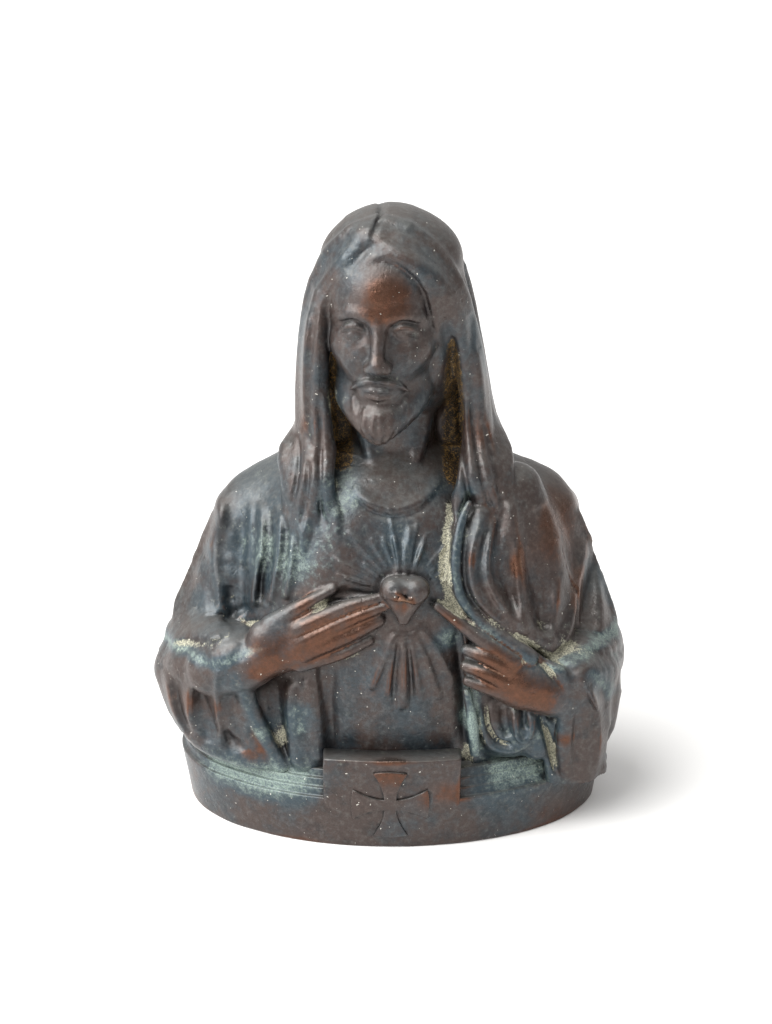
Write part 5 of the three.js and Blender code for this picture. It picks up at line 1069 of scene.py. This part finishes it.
def figure():
    head = placed_head(joined(1.1, face(), beard()))
    clothed = joined(1.6, tunic(), mantle(), left_sleeve(), right_sleeve())
    creases = [
        fold([[-11.5, 107.9], [-6, 104.7], [1.4, 102.9], [8.6, 104.7], [14.4, 108.5]], 1.6, 1.1),
        fold([[-10.3, 105.2], [-5.2, 101.6], [1.4, 100.2], [8, 101.6], [13.2, 105.2]], 0.8, -0.5),
        fold([[-70.4, 51.3], [-60.9, 58.8], [-52.1, 62.6], [-44.5, 66.7], [-37.3, 71.4]], 1.3, -0.8),
        fold([[-67.4, 55.4], [-57.8, 62.8], [-49.4, 66]], 1.8, 0.8),
        fold([[45.2, 59.2], [52.4, 59.3], [60.6, 56.4], [69.3, 50.5]], 1.2, -1),
        fold([[57.2, 55.2], [61, 47.6], [63.2, 40.4]], 1.4, -0.8),
        fold([[53.7, 55.7], [58.1, 48.5], [60.5, 41.8]], 1.2, 1),
        fold([[1.4, 84.2], [2, 90], [0.6, 95.8]], 1.1, 1),
        fold([[3.7, 84.2], [4.6, 91.2], [5.4, 98.2]], 1.2, 1.2),
        fold([[6, 84.2], [7.4, 89.1], [9.4, 93.6]], 1.1, 1)]
    creases += rays_round([3.4, 79.3], RAYS, 8.4, 25, 0.6, 0.55)
    body = dressed(joined(1.5, clothed, neck()), creases, FRONT)
    hollows = [
        limb([[-18, -19, 148], [-17, -16, 130], [-16, -19, 114]], [1.2, 2.4, 1.8]),
        blob([17.2, -23, 129], [2.5, 10, 23])]
    bare = carved(1, joined(0.8, joined(1, body, head), hair()), *hollows)
    return joined(0.9, bare, border(), right_hand(), left_hand(), heart())


BLOCK = 16  # lattice points along a block's side
COARSER = 1
# The lattice across, inward and upward: from, to, spacing, and the finer spacing of the stretch with
# the face in it.
LATTICE = [(-78, 78, 0.8, 0.5, -22, 22), (-58, 50, 0.95, 0.6, -58, -14), (16, 192, 0.8, 0.5, 118, 172)]
MOST_TRIANGLES = 195000


def lattice_lines(low, high, wide, fine, fine_from, fine_to):
    """Places from low to high this far apart, closer together in one stretch."""
    lines = [low]
    while lines[-1] < high or len(lines) % BLOCK:
        lines.append(lines[-1] + COARSER * (fine if fine_from <= lines[-1] < fine_to else wide))
    return np.array(lines)


def depths_on(form, lines):
    """The form's depths on a lattice with these lines along each axis. A block of the lattice that a
    few of its points show to be far from the surface isn't worked out."""
    count = np.array([len(axis) for axis in lines])
    field = np.full(count, NEAR, np.float32)
    inner = np.stack(np.meshgrid(*[np.arange(BLOCK)] * 3, indexing="ij"), -1).reshape(-1, 3)
    probe = (inner % 5 == 0).all(1)
    for block in np.ndindex(*(count // BLOCK)):
        i, j, k = np.array(block) * BLOCK
        part = [axis[s:s + BLOCK] for axis, s in zip(lines, (i, j, k))]
        corner, far = (np.array([p[end] for p in part]) for end in (0, -1))
        points = np.stack([p[i] for p, i in zip(part, inner.T)], 1).astype(np.float32)
        depths = form.depth(points[probe], corner, far)
        if np.abs(depths).min() > 5 / (BLOCK - 1) * (far - corner).max():
            depths = np.full(BLOCK ** 3, depths[0])
        else:
            depths = form.depth(points, corner, far)
        field[i:i + BLOCK, j:j + BLOCK, k:k + BLOCK] = depths.reshape(BLOCK, BLOCK, BLOCK)
    field[field == 0] = 1e-4
    return field


def surface_of(form, lines):
    """Vertices and four-sided faces of the surface where the form's depth is zero: one vertex in each
    cell that the surface passes through, and a face across each lattice edge that it cuts."""
    field = depths_on(form, lines)
    count = field.shape
    inside = field < 0
    corners = np.array(list(np.ndindex(2, 2, 2)))
    filled = sum(inside[i:count[0] - 1 + i, j:count[1] - 1 + j, k:count[2] - 1 + k].astype(np.int8)
                 for i, j, k in corners)
    cells = np.argwhere((filled > 0) & (filled < len(corners)))
    number = np.full(filled.shape, -1, np.int32)
    number[tuple(cells.T)] = np.arange(len(cells))
    total, crossings = np.zeros((len(cells), 3)), np.zeros(len(cells))
    for a in corners:
        for axis in np.flatnonzero(a == 0):
            b = a.copy()
            b[axis] = 1
            da, db = (field[tuple((cells + c).T)].astype(float) for c in (a, b))
            cut = (da < 0) != (db < 0)
            t = np.where(cut, da / np.where(cut, da - db, 1), 0)
            total[cut] += (a + (b - a) * t[:, None])[cut]
            crossings += cut
    found = cells + total / crossings[:, None]
    vertices = np.stack([np.interp(found[:, a], np.arange(count[a]), lines[a]) for a in range(3)], 1)

    faces = []
    for axis in range(3):
        u, v = np.roll(np.eye(3, dtype=int), axis, 1)[1:]
        ends = tuple(slice(1, n - 1) for n in count)
        edges = np.argwhere(inside[ends] != np.roll(inside, -1, axis)[ends]) + 1
        quad = np.stack([number[tuple((edges - s).T)] for s in (0 * u, u, u + v, v)], 1)
        leaving = inside[tuple(edges.T)]
        quad[~leaving] = quad[~leaving][:, ::-1]
        faces.append(quad)
    return vertices, np.vstack(faces)


def depth_at(form, points, block=10):
    """The form's depth at scattered points, worked out block by block."""
    cell = np.floor(points / block).astype(int)
    order = np.lexsort(cell.T)
    ends = np.flatnonzero(np.diff(cell[order], axis=0).any(1)) + 1
    depths = np.empty(len(points), np.float32)
    for part in np.split(order, ends):
        q = points[part].astype(np.float32)
        depths[part] = form.depth(q, q.min(0), q.max(0))
    return depths


def thinned(vertices, faces):
    """A mesh of these faces, with as many triangles as a piece may have."""
    rough = bpy.data.meshes.new("figure_rough")
    rough.from_pydata(vertices.tolist(), [], faces.tolist())
    holder = bpy.data.objects.new("figure_rough", rough)
    bpy.context.scene.collection.objects.link(holder)
    fewer = holder.modifiers.new("fewer", "DECIMATE")
    fewer.ratio = min(1, MOST_TRIANGLES / (2 * len(faces)))
    mesh = bpy.data.meshes.new_from_object(holder.evaluated_get(bpy.context.evaluated_depsgraph_get()))
    bpy.data.objects.remove(holder)
    mesh.name = "figure"
    return mesh


def placed(mesh, points):
    mesh.vertices.foreach_set("co", points.ravel())
    mesh.update()


MOST_OFF, PUT_RIGHT = 0.35, 0.9  # the most that a point is moved, and the share of its error
NARROW, WIDE, UNDER = 1, 2.8, 1.6  # how far out and in the surface is looked at
FACE = (-2, 150, 15, 1)  # as a stain's spot: too high up to be handled much


def make_figure():
    """The figure's form meshed, with every point drawn back onto the form. How shut in a point is above
    the surface makes it hollow, and how open it is below makes it a crest."""
    form = figure()
    mesh = thinned(*surface_of(form, [lattice_lines(*row) for row in LATTICE]))
    points, normals = coordinates(mesh), coordinates(mesh, "normal")
    off = np.clip(depth_at(form, points), -MOST_OFF, MOST_OFF)
    points = points - normals * off[:, None] * PUT_RIGHT
    points = np.clip(points, *(np.array(corner) / MM for corner in cad_box))
    placed(mesh, points)
    normals = coordinates(mesh, "normal")
    narrow, wide = (1 - depth_at(form, points + normals * r) / r for r in (NARROW, WIDE))
    below = 1 + depth_at(form, points - normals * UNDER) / UNDER
    hollow = np.clip(0.55 * narrow + 0.75 * wide, -0.3, 1.4)
    crest = np.clip(1.6 * below - 0.1 - 0.5 * wide, -0.3, 0.8)
    crest *= 1 - 0.7 * stained(points, [FACE])
    weathered(mesh, points, hollow, crest)
    placed(mesh, points * MM)
    return bronze_piece("figure", mesh)


figure_piece = make_figure()


# Weathering of the base, panel and cross: dust and painted shade lie in their corners and under the
# figure's hems, found by looking out from each point in a fixed set of directions.
LOOKS, LOOK_DISTANCE = 40, 7 * MM
LOOK_START, LOOK_SLANT = 0.25 * MM, 0.15  # off the surface, and the least rise of a look above it


def all_round(count):
    """Directions spread evenly all round."""
    turns = np.arange(count) * math.pi * (3 - math.sqrt(5))
    z = 1 - (2 * np.arange(count) + 1) / count
    r = np.sqrt(1 - z * z)
    return [Vector(w) for w in np.stack([r * np.cos(turns), r * np.sin(turns), z], 1).tolist()]


def weather_round(pieces, others):
    whole = bmesh.new()
    for piece in pieces + others:
        whole.from_mesh(piece.data)
    tree = BVHTree.FromBMesh(whole)
    whole.free()
    ways = all_round(LOOKS)
    for piece in pieces:
        mesh = piece.data
        normals = [Vector(n) for n in coordinates(mesh, "normal")]
        hollow, crest = np.zeros(len(normals)), np.zeros(len(normals))
        for i, (v, n) in enumerate(zip(mesh.vertices, normals)):
            start = v.co + n * LOOK_START
            seen = [w for w in ways if w.dot(n) > LOOK_SLANT]
            hit = sum(tree.ray_cast(start, w, LOOK_DISTANCE)[0] is not None for w in seen)
            hollow[i] = hit / len(seen)
        for a, b in (edge.vertices for edge in mesh.edges):
            along = mesh.vertices[b].co - mesh.vertices[a].co
            bend = (normals[b] - normals[a]).dot(along) / max(along.length_squared, 1e-12) * MM
            crest[a] += bend
            crest[b] += bend
        hollow = np.clip(1.7 * hollow - 0.1, 0, 1.2)
        weathered(mesh, coordinates(mesh) / MM, hollow, np.clip(crest * 0.5, 0, 0.9))


weather_round([base, panel, cross], [figure_piece])


# The studio: a pale floor without a pattern, a large soft light from the upper left, a weaker one
# lower on the left, and a camera at the height and distance of the photograph's. Lengths are metres.
CAMERA_RISE, CAMERA_DISTANCE = math.radians(21), 0.8
LOOKED_AT = Vector((0, 0, 0.0905))
PIXELS_HIGH = 1024
SENSOR, PIXEL = 24, 1 / 3350  # the picture's height on the sensor, and a pixel at the statuette
OFF_CENTRE = -6  # pixels that the statuette stands left of the middle
FLOOR, FLOOR_SIZE = "#f4f3f1", 6
SKY = 0.68  # strength of the even light from all round


def make_floor():
    bm = bmesh.new()
    bmesh.ops.create_grid(bm, x_segments=1, y_segments=1, size=FLOOR_SIZE)
    mesh = bpy.data.meshes.new("floor")
    bm.to_mesh(mesh)
    bm.free()
    paper = bpy.data.materials.new("matt_white_paper")
    paper.use_nodes = True
    shader = paper.node_tree.nodes["Principled BSDF"]
    shader.inputs["Base Color"].default_value = linear(FLOOR)
    shader.inputs["Roughness"].default_value = 0.9
    shader.inputs["Specular IOR Level"].default_value = 0.1
    mesh.materials.append(paper)
    floor = bpy.data.objects.new("floor", mesh)
    bpy.context.scene.collection.objects.link(floor)


def aimed(name, data, place):
    """A light or camera at a place, looking at the statuette."""
    aim = (place - LOOKED_AT).to_track_quat("Z", "Y").to_matrix().to_4x4()
    made = bpy.data.objects.new(name, data)
    made.matrix_world = Matrix.Translation(place) @ aim
    bpy.context.scene.collection.objects.link(made)
    return made


def soft_light(name, place, size, power):
    light = bpy.data.lights.new(name, "AREA")
    light.shape, light.size, light.energy = "DISK", size, power
    aimed(name, light, Vector(place))


make_floor()
soft_light("window_left", (-1.35, -0.75, 1.7), 2.9, 124)
soft_light("window_low", (-1.7, -0.7, 0.6), 1.8, 14)
world = bpy.data.worlds.new("studio")
world.use_nodes = True
world.node_tree.nodes["Background"].inputs["Color"].default_value = (1, 1, 1, 1)
world.node_tree.nodes["Background"].inputs["Strength"].default_value = SKY
bpy.context.scene.world = world
bpy.context.scene.view_settings.view_transform = "Standard"

lens = bpy.data.cameras.new("camera")
lens.sensor_fit, lens.sensor_height = "VERTICAL", SENSOR
lens.lens = SENSOR * CAMERA_DISTANCE / (PIXELS_HIGH * PIXEL)
lens.shift_x = OFF_CENTRE / PIXELS_HIGH
away = Vector((0, -math.cos(CAMERA_RISE), math.sin(CAMERA_RISE)))
bpy.context.scene.camera = aimed("camera", lens, LOOKED_AT + away * CAMERA_DISTANCE)
